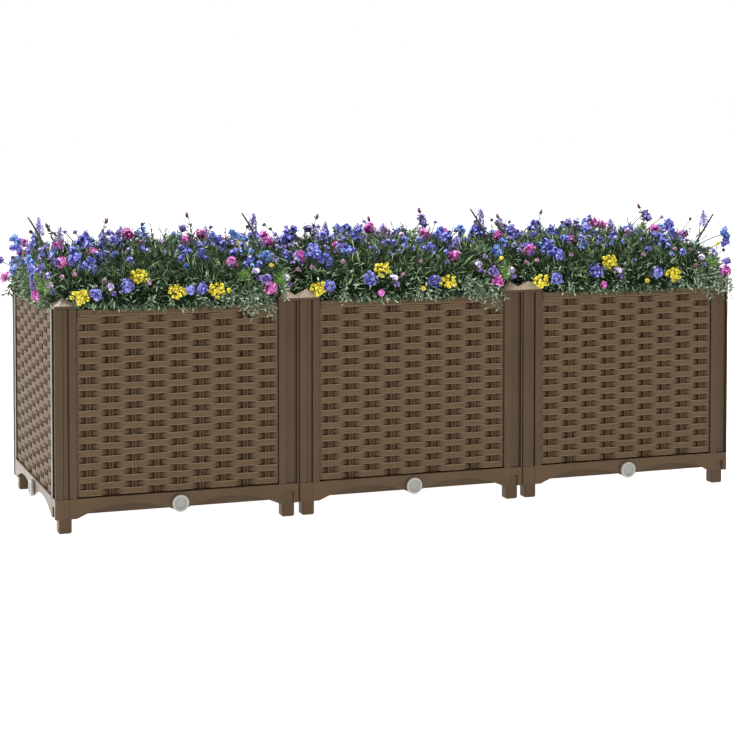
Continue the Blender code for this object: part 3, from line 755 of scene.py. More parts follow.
def narrow(t):
    """Half width of a narrow blade at the place t along it: 1 - 0.85 t^2."""
    return 1 - 0.85 * t**2


def pointed(t):
    """Half width of a pointed leaf: 0.24 sin(pi t^0.75), with a little left at both ends."""
    return 0.24 * np.sin(math.pi * np.clip(t, 0.02, 0.98) ** 0.75)


def blade_shape(rows, bend, half):
    """A blade or leaf of length 1 along Z, with a half width that changes along it, bent over by bend t^2."""
    t = np.linspace(0, 1, rows)[:, None]
    points = surface(half(t) * [-1.0, 1.0], bend * t**2, t)
    return points.reshape(-1, 3), np.repeat(t, 2), [grid_faces(rows, 2)]


def floret_shape(notch, cup, ruffle, petals=5):
    """An open floret of radius 1 facing Z, as a fan: its rim dips by the notch between the petals, rises by the
    cup r^2, and is ruffled by a sine."""
    turn = circle(2 * petals)
    r = 1 - notch * (0.5 - 0.5 * np.cos(petals * turn))
    z = cup * r**2 + ruffle * np.sin(2.0 * petals * turn)
    points = np.concatenate([surface(r * np.cos(turn), r * np.sin(turn), z), [[0, 0, 0.02]]])
    k = np.arange(len(turn))
    fan = np.stack([np.full(len(k), len(k)), k, (k + 1) % len(k)], axis=-1)
    return points, np.append(np.ones(len(k)), 0.0), [fan]


def bud_shape(rows, sides, point):
    """A bud of length 1 and half width 1: radius sin(pi t^point), closed at both ends."""
    t = np.linspace(0.03, 0.97, rows)
    radius = np.sin(math.pi * t**point)[:, None]
    points = surface(radius * np.cos(circle(sides)), radius * np.sin(circle(sides)), t[:, None])
    return points.reshape(-1, 3), np.repeat(t, sides), tube_faces(rows, sides)


def core_shape():
    """The plain body inside a head or spike, all of one dark tone: painted shade between the florets."""
    points, reach, faces = bud_shape(4, 6, 1.0)
    return points, np.full(len(reach), 0.22), faces


LEAF = blade_shape(4, 0.22, pointed)
NEEDLE = blade_shape(3, 0.22, narrow)
CURVED = blade_shape(4, 0.6, narrow)
FLORET = floret_shape(0.45, 0.35, 0.0)
WIDE_FLORET = floret_shape(0.3, 0.25, 0.08)
BUD_SHAPE = bud_shape(6, 8, 0.7)
CORE = core_shape()

# The leafy mass over a planter, from its lower edge to its top
BED_LEVELS = (0.0, 0.12, 0.3, 0.55, 0.8, 1.0)
BED_FRONT = (-0.196, -0.205, -0.203, -0.182, -0.125, -0.01)
BED_BACK = (0.196, 0.204, 0.204, 0.192, 0.145, 0.03)
BED_SHARE = (0.93, 0.97, 0.97, 0.92, 0.76, 0.08)  # of the planter's width
BED_LOW = (0.358, 0.372, 0.39, 0.41, 0.423, 0.428)  # height in front
BED_HIGH = (0.36, 0.373, 0.392, 0.413, 0.427, 0.432)  # and at the back


def brought_out(points):
    """Places carried out through the leaves until they stand on the outermost: those in front forwards, a little
    to the left and up, step by step, and those at the back straight backwards."""
    out = points.copy()
    ahead = points[:, 1] < 0.07
    for _ in range(4):
        shell = np.interp(out[:, 2], (*BED_LOW, 0.436), (*[y - 0.013 for y in BED_FRONT], 0.3))
        step = np.where(ahead, np.maximum(out[:, 1] - shell, 0), 0)
        out += step[:, None] * surface(-0.39 - 0.35 * out[:, 0], -1.0, 0.1)
    behind = np.interp(out[:, 2], (0.37, 0.392, 0.416, 0.434), (0.214, 0.214, 0.2, 0.15))
    out[:, 1] = np.where(ahead, out[:, 1], np.maximum(out[:, 1], np.where(out[:, 2] < 0.43, behind, 0)))
    return out


def bed_surface(t, angle, index):
    """The leafy mass over a planter at level t (0 at the rim, 1 at the top) and an angle round it: a superellipse
    that swells out over the rim, closes in above and slopes up to the back."""
    front, back, share, low, high = (
        np.interp(t, BED_LEVELS, values) for values in (BED_FRONT, BED_BACK, BED_SHARE, BED_LOW, BED_HIGH)
    )
    left = -0.212 if index == 0 else -0.199
    right = 0.212 if index == 2 else 0.199
    c, s = np.cos(angle), np.sin(angle)
    swell = swollen(c, s, 6)
    x = (right + left) / 2 + (right - left) / 2 * share * c * swell
    y = (front + back) / 2 + (back - front) / 2 * s * swell
    z = low + (high - low) * (s * swell + 1) / 2
    lumps = 0.005 * (np.sin(55 * x + 40 * y) + np.sin(47 * y - 31 * x + index)) * t * (1 - 0.5 * t)
    return surface(x, y, z + lumps)


def leaf_bed(planter, index):
    """The leafy mass's filling, as a closed surface from the soil to the top, painted near-black as the shade inside
    the leaves.
    """
    rows, columns = 16, 72
    mass = bed_surface(*np.meshgrid(np.linspace(0, 1, rows), circle(columns), indexing="ij"), index)
    mass[..., 2] -= 0.01
    foot = mass[:1].copy()
    foot[..., :2] *= 0.86
    foot[..., 2] = SOIL_TOP + 0.001
    waist = mass[:1] * [0.9, 0.9, 1]
    waist[..., 2] = 0.346
    points = np.concatenate([foot, waist, mass]).reshape(-1, 3)
    tone = 0.5 + 0.5 * np.sin(210 * points[:, 0]) * np.sin(190 * points[:, 1] + 1)
    faces = tube_faces(rows + 2, columns)
    points += [PLANTERS[planter], 0, 0]
    piece = mesh_piece(f"{planter}_undergrowth", points, faces, BED, tone, np.ones(len(points)))
    stands_for(piece, f"{planter}_plants")


def on_bed(count, low, high, index, where=ALL_ROUND):
    """Random places on the leafy mass between two levels, and the outward direction at each."""
    t = rng.uniform(low, high, count)
    angle = rng.uniform(*where, count)
    step = 1e-3
    here = bed_surface(t, angle, index)
    up = bed_surface(np.minimum(t + step, 1), angle, index) - bed_surface(np.maximum(t - step, 0), angle, index)
    along = bed_surface(t, angle + step, index) - bed_surface(t, angle - step, index)
    return here, unit(np.cross(along, up))


def scattered_leaves(
    index, x0, bunch, shape, count, low, high, length, width, rise, spread, tones, depth=0.008, drop=0.0
):
    """Leaves all over one planter's mass: each points outwards, lifted by the rise and turned aside at random."""
    here, outward = on_bed(count, low, high, index)
    aim = outward + [0, 0, rise] + rng.normal(0, spread, (count, 3))
    size = rng.uniform(*length, count)
    sizes = np.stack([rng.uniform(*width, count), size, size], axis=-1)
    origins = here - outward * depth + [x0, 0, -drop]
    bunch.add(shape, origins, aim, sizes, np.clip(rng.normal(*tones, count), 0, 1))


def foliage():
    """Narrow dark and pale leaves over the whole mass, small sage leaves round the rim, and lime tufts."""
    blades, pale, sages, rims, limes = (Bunch() for _ in range(5))
    kinds = (
        # bunch, shape, number, lowest and highest level, lengths, widths, rise, spread, middle and spread of the
        # tones, and where it isn't the usual, how deep in the mass and how far down the leaves start
        (blades, NEEDLE, 4600, 0.02, 1.0, (0.012, 0.026), (0.0006, 0.0011), 0.3, 0.85, (0.36, 0.24)),
        (pale, CURVED, 1500, 0.05, 1.0, (0.009, 0.02), (0.0006, 0.0012), 0.3, 0.9, (0.44, 0.32), 0.001),
        (blades, LEAF, 1300, 0.02, 0.95, (0.008, 0.014), (0.005, 0.01), 0.35, 0.9, (0.5, 0.28), 0.001),
        (sages, LEAF, 2200, 0.0, 0.36, (0.007, 0.013), (0.004, 0.008), 0.1, 0.9, (0.42, 0.34), -0.003),
        (rims, LEAF, 2500, 0.0, 0.12, (0.007, 0.014), (0.004, 0.009), -0.3, 0.95, (0.44, 0.36), 0.001, 0.009),
        (sages, NEEDLE, 900, 0.3, 1.0, (0.012, 0.024), (0.0005, 0.0008), 0.6, 0.8, (0.34, 0.26), 0.0),
    )
    for index, x0 in enumerate(PLANTERS.values()):
        for kind in kinds:
            scattered_leaves(index, x0, *kind)
    for place in places(LIME_TUFTS):
        aim = np.array([0, -0.3, 0.5]) + rng.normal(0, 0.7, (TUFT_LEAVES, 3))
        origins = place + rng.normal(0, 0.005, (TUFT_LEAVES, 3))
        sizes = rng.uniform(0.006, 0.012, (TUFT_LEAVES, 1)) * [0.06, 1, 1]
        limes.add(NEEDLE, origins, aim, sizes, rng.uniform(0.1, 0.9, TUFT_LEAVES))
    plant_pieces(
        (blades, "dark_leaf_mass", BLADE),
        (pale, "pale_leaf_mass", PALE),
        (sages, "sage_leaf_mass", SAGE),
        (rims, "rim_leaf_mass", SAGE),
        (limes, "lime_leaf_tufts", LIME),
    )


# Where the plants stand, in centimetres: across from the middle of the left, middle and right planter (None where
# a planter has none there), then towards the back, then up
LIME_TUFTS = (
    (-21.5, -23, -23.5, -20, 38.8), (4.5, 9, 15, 3, 44.2), (11, None, 17, -19, 39.5), (9, -19, 17.5, 12, 43),
)
REEDS = (
    # tip, then foot
    ((-20, -23, -20, 3, 48.5), (-16.5, -19.5, -16.5, 1, 40.5)),
    ((None, None, 21.5, -12, 47.5), (None, None, 16, -12, 39.5)),
)
PINK_SPIKES = (
    # tip, then foot
    ((-6, -8, -4, 7, 47.6), (-8, -10, -6, 6, 41.5)), ((8.5, 12, 17, 7.5, 48.3), (9.5, 13, 18, 6, 41.5)),
    ((-14.5, 5, -9, 15, 46.5), (-13, 6, -8, 13, 40.5)),
)
DARK_BUDS = (
    (-16.2, -18.5, -15, 4.5, 46.2), (-15.4, -17.5, -14.3, 4, 45.5), (-19.5, -22, -19, 3, 46),
    (-22, None, None, 6, 41.5), (None, None, 18, -10, 46.5), (None, None, 22.5, -14, 41),
)
LAVENDER_SPIKES = (
    (-18, -20.5, -17.5, 4, 48.4), (None, None, 19.5, -12, 48.3), (-6.5, -8.5, -4.5, 6, 45.5), (None, 4, 9.5, 5, 46),
    (-12.5, -4, -9, 14, 46), (14, 3, 6.5, 16, 45.5),
)
PALE_SPRIGS = (
    (-13.5, -14.5, -11.5, 4.5, 45.8), (None, -4.5, -0.5, 5, 45.5), (12, 14, 20.5, 5, 46), (-11.5, -8, -5, 6, 45.6),
)
LOOSE_FLORETS = (
    (-18, -17.5, -13.5, 0, 43.5), (-17, -16.5, -14, -5, 42.7), (-18.5, -18.5, -18, -14, 42),
    (-21, None, 20, -4, 42.7), (-20.5, None, 22.5, -11, 40), (-4, 0, 5, 6, 45.5), (14, 13.5, 16, -6, 42.6),
    (1, 4, -10, 12, 44.8),
)
SKY_HEADS = (
    (-21.5, None, 22.5, 6, 44.5), (None, -25, -22.5, 2, 44.8), (-21.5, None, None, -5, 41.5),
    (None, -24, -22.5, -14, 42), (None, None, 22.5, -14, 44), (19, 17, 23, 10, 43.5), (2, -1, 9.5, 15, 44.5),
)
VIOLET_BLUE = (
    (-14.5, -14, -10.5, -9, 42.8), (-14.5, -14, -10.5, -10, 42), (-11.5, -7.5, -4, 2, 44),
    (None, -15.5, -12, 2, 44.2), (None, -15.5, -12, 1.5, 43.4), (-13.5, -14, -12, -15.5, 41.5),
    (-10, -8, -3.5, -9, 42.5), (-5.5, -2, 3, 2, 44.3), (-5.5, -2, 3, 1, 43.5), (4, 7, 13.5, -6, 42.7),
    (6, 6.5, 12, -11, 42.4), (12, 14, 20, 2, 44.3), (12, 14, 20, 0, 43.3), (-21.5, None, None, 6, 43.4),
    (-21.5, None, None, -5, 40.2), (None, None, 23, -14, 42.9), (-17.5, -18, -15, 12, 44), (-5, 0, -2.5, 13, 44.5),
    (7, 9, 5.5, 11, 44), (16, 16, 14.5, 6, 43.5), (-9.5, -12, -16, 8, 44.5),
)
MAGENTA_HEADS = (
    # the last number is the radius
    (-2.5, 1.5, 6.5, 5.5, 45, 1.3), (7, 11, 17.5, 2.5, 44, 1.1), (-15.5, -19, -15.5, 0.5, 43.5, 1.0),
    (-17.5, -18, -16, -14, 42, 1.05), (-10.5, -8, -3, -4, 42.7, 0.9), (9.5, 8.5, None, -17, 41.5, 1.05),
    (None, None, 21, -2, 43, 1.0), (None, -25, -25, -20.5, 37.5, 1.05), (None, -6, -5, -20.5, 36.2, 0.5),
    (-20.9, None, None, 7, 36.9, 1.05), (-21.8, None, None, -12, 36.8, 0.95), (None, None, 22.4, -15, 37.4, 1.05),
    (-8, -15, -6, 16, 43.5, 1.1), (11, 5, 9.5, 8, 44.5, 1.15), (18, 12, 22.5, 14, 42.5, 1.0),
    (-19, -20, -21, 13, 43.5, 1.0),
)
PURPLE_HEADS = (
    (7.5, 12.5, 18.5, 7, 45.7), (None, 12.5, 18.5, 8, 46.6), (None, -25.5, -25.5, -20, 39),
    (12, 11.5, None, -10, 42.6), (-22, None, None, 8, 40), (-21.5, None, None, -6, 37.8),
    (None, None, 22.6, -15, 39), (-3, -9, 2.5, 9, 45), (3, 16, -12, 17, 43.5),
)
YELLOW_HEADS = (
    (-16, -17, -17, -20.5, 37.2), (-6.5, -5.5, -3.5, -19.5, 40), (-0.5, None, None, -20.5, 37.5),
    (6, 6, 8.5, -20.5, 37.6), (-6, 10, -4, 17.5, 39.5), (12, -8, 13.5, 18.5, 39), (-16, -19, 4.5, 19, 38.5),
)
YELLOW_BUDS = (
    (-20.5, None, None, 7, 42.6), (-22, None, None, -12, 40.5), (None, -24.5, -22.5, -0.5, 43.5),
    (None, -24, -23, -17.5, 41), (None, 1.5, 3.5, -20.5, 36.7), (8, None, None, -20.5, 37.5),
    (None, None, 22, -13, 42.1), (17, 2, 8.5, 19, 38.5),
)
VIOLET_HEADS = (
    # the last number is the radius
    (-13.5, -15, -14, -20.5, 37.5, 1.1), (-8.5, -8, -6.5, -20.5, 38.5, 1.35), (1.5, None, None, -20.5, 37.7, 0.85),
    (3.5, 3.5, 5.5, -20.5, 37.9, 1.15), (-3, 13, -7, 18, 39, 1.0), (15, -5, 10.5, 19, 38.5, 1.0),
)
DUSKY_HEADS = (
    (-18.5, -20, -19, -19, 40.3), (-16.5, -17.5, -17, -19, 40.6), (-4.5, -1.5, 3.5, -2.5, 42.8),
    (-12, None, None, -20, 39.5), (None, -11.5, -9.5, -17, 41.2), (-5, -2, 13.5, -20, 39), (-1, 3, 8, 2, 43.9),
    (None, 2, 4, -18, 41), (None, None, 11.5, -16, 41.6), (None, None, 14, -17, 41.5), (-12.5, 6, -1.5, 14, 43),
    (5, -4, 17.5, 18, 40), (20, -16, 21, 15, 41),
)
WHITE_VIOLET_HEADS = (
    (-20.5, -22, -22, -20, 38.6), (2.5, 6, 11, 0.5, 43.5), (-11, -3.5, -2, -20.5, 38.1), (13, 12, 15, -19.5, 39.8),
    (-2, 9, -13, 18, 40),
)


def places(table, extra=False, proud=True):
    """The places of a kind of plant in metres, brought out of the leaves, and any further numbers in its rows."""
    found, more = [], []
    for row in table:
        for across, x0 in zip(row, PLANTERS.values()):
            if across is not None:
                found.append((across * CM + x0, row[3] * CM, row[4] * CM))
                more.append(row[5:])
    found = brought_out(np.array(found)) if proud else np.array(found)
    return (found, np.array(more)) if extra else found


# Broad-leaved sprigs past the row's ends, in centimetres: from, to, and the length of a leaf
END_SPRIGS = (
    ((-59.5, 15, 37.8), (-62.4, 16, 36.2), 1.35), ((-60, 14, 37.0), (-62.2, 15, 34.2), 1.35),
    ((-60, 10, 37.2), (-61.8, 11, 34.8), 1.2), ((60, -18, 37.5), (62.4, -17, 36.0), 1.15),
    ((60, -14, 37.0), (62.2, -13, 35.0), 1.0), ((56.5, -12, 41.0), (59.0, -13, 44.8), 0.9),
    ((57.5, -10, 40.5), (60.8, -11, 43.4), 0.9), ((55.0, -11, 41.5), (56.8, -12, 45.0), 0.85),
    ((58.0, -13, 39.5), (61.4, -14, 41.4), 0.95), ((56.0, -8, 41.5), (58.5, -9, 44.2), 0.85),
)
# Where the knobs of one yellow cluster stand about its middle
CLUSTER = np.array(
    [[0, 0, 0.1], [1.1, 0.2, 0.2], [-1.1, 0.1, -0.1], [0.5, -0.4, -0.5], [-0.5, -0.4, -0.6], [0.1, 0.4, 0.8]]
    + [[0.8, -0.3, 0.8], [-0.6, 0.1, 0.5], [1.1, -0.2, -0.5], [0, -0.3, -1.0], [0.5, -0.5, 0.3]]
    + [[-0.3, -0.6, 0.0], [-1.0, -0.2, 0.6], [0.2, -0.6, -0.3]]
)
# How the heads of one blue-violet and one sky blue group stand about its middle, in metres
BLUE_SHIFTS = ((0, 0, 0.005), (0.006, -0.004, -0.001), (-0.006, 0.001, -0.004), (0.003, -0.005, -0.009))
BLUE_SHIFTS += ((-0.003, -0.002, 0.001),)
SKY_SHIFTS = ((0, 0, 0.006), (0.005, -0.002, -0.001), (-0.005, 0, 0.001), (0.001, -0.003, -0.006))
STALKED = (SKY_HEADS, VIOLET_BLUE, MAGENTA_HEADS, PURPLE_HEADS, YELLOW_HEADS, YELLOW_BUDS)
STALKED += (VIOLET_HEADS, DUSKY_HEADS, WHITE_VIOLET_HEADS)


def dome(count, low):
    """Evenly spread directions over a sphere above the given height, by golden-angle steps."""
    k = np.arange(count) + 0.5
    z = 1 - (1 - low) * k / count
    r = np.sqrt(1 - z**2)
    return surface(r * np.cos(k * GOLDEN_ANGLE), r * np.sin(k * GOLDEN_ANGLE), z)


def heads(bunch, centres, radius, florets, size, low=-0.4, stretch=1.0, shape=FLORET):
    """A round head at each centre: florets on a dome of the radius, each facing out, a little uneven."""
    count = len(centres)
    radius = np.broadcast_to(radius, count)
    out = dome(florets, low) + rng.normal(0, 0.16, (count, florets, 3))
    tilt = np.stack([rng.normal(0, 0.25, count), rng.normal(-0.15, 0.25, count), np.ones(count)], axis=-1)
    out = np.einsum("nij,nkj->nki", frames_towards(tilt, rng.uniform(0, 6, count)), out)
    uneven = rng.uniform(0.82, 1.05, (count, florets, 1))
    origins = centres[:, None] + out * radius[:, None, None] * [1, 1, stretch] * uneven
    sizes = size * rng.uniform(0.8, 1.15, count * florets)
    tones = np.repeat(rng.uniform(0.3, 0.6, count), florets) + rng.normal(0, 0.3, count * florets)
    bunch.add(shape, origins.reshape(-1, 3), unit(out.reshape(-1, 3)), sizes, np.clip(tones, 0, 1))
    # A dark core inside the head: painted shade between the florets
    body = np.stack([radius, radius, 2 * radius * stretch], axis=-1) * 0.88
    bunch.add(CORE, centres - unit(tilt) * body[:, 2:] / 2, tilt, body, 0.4)


def clustered(bunch, centres, shifts, wander, *head):
    """Several heads about each centre, one for each shift."""
    for shift in shifts:
        heads(bunch, centres + shift + rng.normal(0, wander, centres.shape), *head)


def spikes(bunch, tips, length, radius, florets, size):
    """An upright spike under each tip: florets on a golden-angle spiral round its axis, smaller towards the tip."""
    k = (np.arange(florets) + 0.5) / florets
    c, s = np.cos(np.arange(florets) * GOLDEN_ANGLE), np.sin(np.arange(florets) * GOLDEN_ANGLE)
    r = radius * (1 - k**2.2) ** 0.5
    count = len(tips)
    along = unit([0, 0, 1] + rng.normal(0, 0.1, (count, 3)))
    axes = frames_towards(along, rng.uniform(0, 6, count))
    origins = tips[:, None] + np.einsum("nij,kj->nki", axes, surface(r * c, r * s, (k - 1) * length))
    out = np.einsum("nij,kj->nki", axes, surface(c, s, 0.55)) + rng.normal(0, 0.35, (count, florets, 3))
    sizes = np.tile(size * (1.1 - 0.55 * k), count) * rng.uniform(0.85, 1.15, count * florets)
    # A dark core along the spike: painted shade between the florets
    bunch.add(CORE, tips - along * length, along, np.array([[0.5 * radius, 0.5 * radius, length]]), 0.4)
    tones = np.clip(rng.normal(0.5, 0.22, count * florets), 0, 1)
    bunch.add(FLORET, origins.reshape(-1, 3), unit(out.reshape(-1, 3)), sizes, tones)


def stalks(bunch, tips, drop, radius, foot_spread=0.006, lean=0.22):
    """A thin stalk from each tip down into the leaves, bowed to one side."""
    for tip in tips:
        middle = 0.4 * np.clip(np.round(tip[0] / 0.4), -1, 1)
        inward = np.array([(middle - tip[0]) * lean, -tip[1] * lean, 0])
        foot = tip + inward + [*rng.normal(0, foot_spread, 2), -drop]
        path = bowed(foot, tip, [*rng.normal(0, 0.003, 2), 0], 5)
        bunch.loose(tube(path, radius, 5), rng.uniform(0.3, 0.8))


def on_all_beds(count, low, high, lift, where):
    """Random places over all three masses between two angles, lifted off them."""
    found = []
    for index, x0 in enumerate(PLANTERS.values()):
        here, outward = on_bed(count, low, high, index, where)
        found.append(here + outward * lift + [x0, 0, 0])
    return np.concatenate(found)


def flowers():
    """Every kind of flower, each kind one piece, on thin green stalks."""
    yellow, violet, blue, sky, magenta, purple, dusky, mixed, lavender, seeds, stems = (Bunch() for _ in range(11))
    centres = places(YELLOW_HEADS)
    knobs = centres[:, None] + CLUSTER * 0.0098 + rng.normal(0, 0.001, (len(centres), len(CLUSTER), 3))
    heads(yellow, knobs.reshape(-1, 3), 0.0029, 12, 0.0021, -0.6, shape=WIDE_FLORET)
    # A dark yellow core behind the knobs: painted shade between them
    yellow.add(CORE, centres + [0, 0.003, -0.007], [0, 0, 1], np.array([[0.0085, 0.005, 0.014]]), 0.1)
    heads(yellow, places(YELLOW_BUDS), 0.0032, 16, 0.0021, -0.7, shape=WIDE_FLORET)
    centres, radii = places(VIOLET_HEADS, True)
    heads(violet, centres, radii[:, 0] * CM * 0.8, 58, 0.0031, -0.6, 1.05)
    clustered(blue, places(VIOLET_BLUE), BLUE_SHIFTS, 0.0025, 0.005, 11, 0.0036, -0.5, 1.2)
    heads(blue, on_all_beds(26, 0.25, 0.98, 0.006, BEHIND), 0.006, 14, 0.0036, -0.4, 1.1)
    heads(blue, on_all_beds(16, 0.5, 0.96, 0.008, AHEAD), 0.0048, 11, 0.0034, -0.5, 1.2)
    heads(sky, on_all_beds(12, 0.45, 0.96, 0.009, AHEAD), 0.0034, 8, 0.0028, -0.4, 1.2)
    clustered(sky, places(SKY_HEADS), SKY_SHIFTS, 0.0015, 0.005, 14, 0.0033, -0.5)
    heads(sky, on_all_beds(7, 0.3, 0.95, 0.008, BEHIND), 0.0055, 14, 0.0034)
    centres, radii = places(MAGENTA_HEADS, True)
    heads(magenta, centres, radii[:, 0] * CM * 0.84, 44, 0.0032, -0.6, 1.1)
    heads(magenta, on_all_beds(9, 0.15, 0.95, 0.005, BEHIND), 0.005, 14, 0.0032)
    heads(purple, places(PURPLE_HEADS), 0.0085, 34, 0.0031, -0.5, 0.9)
    heads(purple, on_all_beds(8, 0.2, 0.95, 0.006, BEHIND), 0.0052, 14, 0.0033)
    heads(dusky, places(DUSKY_HEADS), 0.0032, 12, 0.0022)
    heads(dusky, on_all_beds(12, 0.08, 0.9, 0.004, BEHIND), 0.0034, 12, 0.0024, -0.3)
    centres = places(WHITE_VIOLET_HEADS)
    heads(mixed, centres + [-0.002, 0, 0.005], 0.0052, 14, 0.0032, -0.3)
    heads(purple, centres + [0.003, 0, -0.006], 0.0036, 9, 0.0027)
    tips, sprigs, buds = (places(table, proud=False) for table in (LAVENDER_SPIKES, PALE_SPRIGS, DARK_BUDS))
    spikes(lavender, tips, 0.03, 0.0068, 56, 0.0034)
    spikes(lavender, on_all_beds(6, 0.45, 0.98, 0.022, BEHIND), 0.022, 0.0045, 30, 0.0026)
    clustered(lavender, places(LOOSE_FLORETS), [0, 0, 0, 0], 0.007, 0.0042, 6, 0.003)
    heads(lavender, on_all_beds(22, 0.4, 0.98, 0.01, AHEAD), 0.003, 5, 0.0028)
    heads(lavender, sprigs, 0.004, 8, 0.0024, -0.3)
    heads(seeds, buds, 0.0016, 8, 0.0022, -0.3, 1.3, BUD_SHAPE)
    plant_pieces(
        (yellow, "yellow_flower_heads", YELLOW),
        (violet, "violet_flower_heads", VIOLET),
        (blue, "blue_violet_flowers", BLUE),
        (sky, "sky_blue_flowers", SKY),
        (magenta, "magenta_flower_heads", MAGENTA),
        (purple, "purple_flower_heads", PURPLE),
        (dusky, "dusky_flower_buds", BUD),
        (mixed, "white_violet_flowers", BLUSH),
        (lavender, "lavender_spikes", LAVENDER),
        (seeds, "dark_seed_heads", TWIG),
    )
    for table in STALKED:
        stalks(stems, places(table), 0.03, 0.001)
    stalks(stems, sprigs, 0.04, 0.001)
    stalks(stems, tips, 0.06, 0.0009, 0.002, 0.03)
    stalks(stems, buds, 0.045, 0.0008)
    plant_pieces((stems, "flower_stalks", STALK))


def reeds():
    """Slanting brown-green reeds."""
    bunch = Bunch()
    for tip_row, foot_row in REEDS:
        for tip, foot in zip(places([tip_row], proud=False), places([foot_row], proud=False)):
            path = bowed(foot, tip, [0.002, 0, 0.003], 9)
            bunch.loose(tube(path, np.linspace(0.0024, 0.0017, 9), 8), 0.5)
    plant_pieces((bunch, "reeds", TWIG))


def sprig(bunch, stems, path, leaves, length, width, tones, spread=0.14):
    """A leafy sprig: a thin stem along the path, with leaves in pairs that point out and towards its tip."""
    stems.loose(tube(path, np.linspace(0.0011, 0.0005, len(path)), 4), 0.5)
    t = np.repeat((np.arange(leaves) + 0.6) / leaves, 2)
    at, steps = t * (len(path) - 1), np.arange(len(path))
    place = surface(*(np.interp(at, steps, line) for line in path.T))
    ahead = unit(surface(*(np.interp(at, steps, line) for line in np.gradient(path, axis=0).T)))
    turn = np.arange(len(t)) * math.pi + np.repeat(np.arange(leaves) * 1.3, 2)
    out = frames_towards(ahead, turn)[..., 0] * 0.9 + ahead * 0.75 + rng.normal(0, spread, (len(t), 3))
    size = length * (1.1 - 0.5 * t) * rng.uniform(0.8, 1.2, len(t))
    bunch.add(LEAF, place, unit(out), surface(size * width, size, size), np.clip(rng.normal(*tones, len(t)), 0, 1))


def pink_spikes(stems):
    """Tall leafy stems that end in a dusky pink bud."""
    buds, leaves = Bunch(), Bunch()
    tips, feet = (places(rows, proud=False) for rows in zip(*PINK_SPIKES))
    for tip, foot in zip(tips, feet):
        sprig(leaves, stems, bowed(foot, tip, [0.001, 0, 0], 8), 15, 0.0105, 0.75, (0.4, 0.2))
        buds.add(BUD_SHAPE, tip[None] - [0, 0, 0.008], unit(tip - foot), np.array([[0.003, 0.003, 0.014]]), 0.3)
    plant_pieces((buds, "pink_spike_tips", BUD), (leaves, "pink_spike_leaves", SPRIG))


def rim_spray(bunch, stems, x0, index, corner):
    """A silvery spray that hangs over the front rim, near the right front corner or anywhere along the rim."""
    shift = 0 if index == 2 else 0.042
    x = x0 + (rng.uniform(0.12, 0.18) - shift if corner else rng.uniform(-0.18, 0.18))
    droop = rng.uniform(0.006, 0.036) if corner else rng.uniform(0.004, 0.012)
    aside = rng.uniform(0.01, 0.034) if corner else rng.normal(0, 0.008)
    start = [x, -0.19, 0.378 if corner else 0.368]
    end = [x + aside, -0.218 + 0.004 * rng.uniform(), 0.362 - droop]
    sprig(bunch, stems, bowed(start, end, [0, -0.003, 0.01], 8), 12, 0.0115, 0.55, (0.74, 0.26))


def trailing_sprays():
    """Sprays that hang over the rims, thickest at each planter's right front corner, leafy upright sprigs among
    the flowers, and sprigs past both ends."""
    bunch, dark, stems = Bunch(), Bunch(), Bunch()
    for index, x0 in enumerate(PLANTERS.values()):
        for k in range(RIM_SPRAYS):
            rim_spray(bunch, stems, x0, index, k < CORNER_SPRAYS)
        for k in range(BACK_SPRAYS):
            x = x0 + rng.uniform(-0.18, 0.18)
            end = [x + rng.normal(0, 0.01), 0.218, 0.356 - rng.uniform(0.0, 0.02)]
            path = bowed([x, 0.188, 0.374], end, [0, 0.004, 0.012], 8)
            sprig(bunch, stems, path, 10, 0.0095, 0.7, (0.5, 0.25))
        for k in range(UPRIGHT_SPRIGS):
            here, outward = on_bed(1, 0.15 if k < LOW_SPRIGS else 0.72, 1.0, index)
            foot = here[0] + [x0, 0, -0.012]
            upward = unit(outward[0] * 0.6 + [*rng.normal(0, 0.45, 2), 1.0])
            tip = foot + upward * rng.uniform(0.026, 0.05)
            path = bowed(foot, tip, [*rng.normal(0, 0.003, 2), 0], 7)
            sprig(dark, stems, path, 11, 0.0085, 0.72, (0.5, 0.3))
    for way in np.repeat([-1, 1], END_SPRAYS):
        y = rng.uniform(-0.17, 0.16)
        end = [way * (0.6 + rng.uniform(0.018, 0.032)), y + rng.normal(0, 0.01), rng.uniform(0.34, 0.375)]
        path = bowed([way * 0.58, y, 0.378], end, [way * 0.004, 0, 0.01], 8)
        sprig(bunch, stems, path, 11, 0.0095, 0.7, (0.5, 0.25))
    for start, end, length in END_SPRIGS:
        path = bowed(np.array(start) * CM, np.array(end) * CM, [0, 0, 0.004], 6)
        sprig(dark, stems, path, 5, length * CM, 0.95, (0.55, 0.2), 0.48)
    pink_spikes(stems)
    plant_pieces((bunch, "trailing_sprays", SAGE), (dark, "leafy_sprigs", SPRIG), (stems, "sprig_stems", STALK))


# Putting the raised bed together

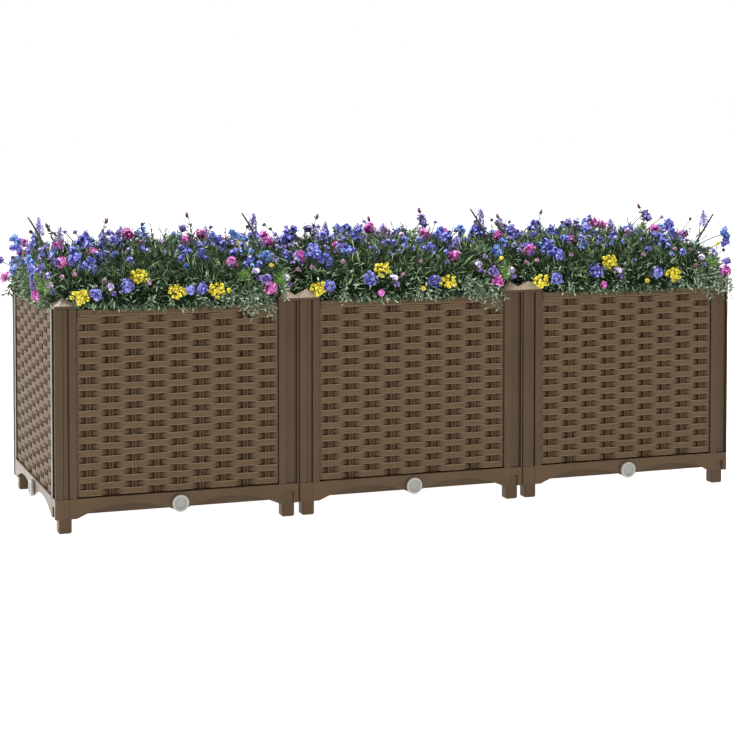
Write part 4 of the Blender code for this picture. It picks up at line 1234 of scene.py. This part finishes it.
FINISH_OF = {"base": BASE, "post": BROWN, "cap": CAP}
for planter in PLANTERS:
    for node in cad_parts:
        if node.startswith(planter + "_") and node.endswith(("_base", "_post", "_cap")):
            softened(node, FINISH_OF[node.rsplit("_", 1)[1]])
    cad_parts[f"{planter}_water_tray"].data.materials[0] = BASE
    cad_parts[f"{planter}_grid"].data.materials[0] = GRID
    for turns in range(4):
        woven_panel(planter, turns)
        if f"{planter}_{SIDES[turns]}_plug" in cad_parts:
            drain_plug(planter, turns)
    soil_surface(planter)
vent_holes()
for index, planter in enumerate(PLANTERS):
    leaf_bed(planter, index)
foliage()
trailing_sprays()
flowers()
reeds()


# Floor, light and camera

floor = mesh_piece(
    "floor",
    np.array([[-30.0, -30, -0.0005], [30, -30, -0.0005], [30, 30, -0.0005], [-30, 30, -0.0005]]),
    [np.array([[0, 1, 2, 3]])],
    pale_floor(),
)


def softbox(name, place, target, size, power, tint=(1, 1, 1)):
    """A square area light that faces a point."""
    light = bpy.data.lights.new(name, "AREA")
    light.energy = power
    light.size = size
    light.color = tint
    holder = bpy.data.objects.new(name, light)
    bpy.context.scene.collection.objects.link(holder)
    way = np.array(target) - np.array(place)
    holder.location = place
    holder.rotation_euler = (math.acos(-way[2] / np.linalg.norm(way)), 0, math.atan2(way[1], way[0]) - math.pi / 2)
    return holder


softbox("left_window", (-2.6, 2.4, 1.5), (-0.4, 0, 0.2), 1.0, 66, (1, 0.95, 0.89))
softbox("high_window", (-0.6, 0.3, 3.4), (0, 0, 0.3), 0.9, 210)

world = bpy.data.worlds.new("studio")
world.use_nodes = True
world.node_tree.nodes["Background"].inputs["Color"].default_value = (1, 1, 1, 1)
world.node_tree.nodes["Background"].inputs["Strength"].default_value = 1.0
bpy.context.scene.world = world
bpy.context.scene.view_settings.view_transform = "Standard"

TILT, TURN = 2.239, 20.156  # of the camera, down and to the right, in degrees
lens = bpy.data.cameras.new("camera")
lens.lens = 90.38
lens.sensor_width = 36
lens.shift_y = -0.25
camera = bpy.data.objects.new("camera", lens)
bpy.context.scene.collection.objects.link(camera)
camera.location = (-1.1262, -3.0467, 0.6601)
camera.rotation_euler = (math.radians(90 - TILT), 0, -math.radians(TURN))
bpy.context.scene.camera = camera
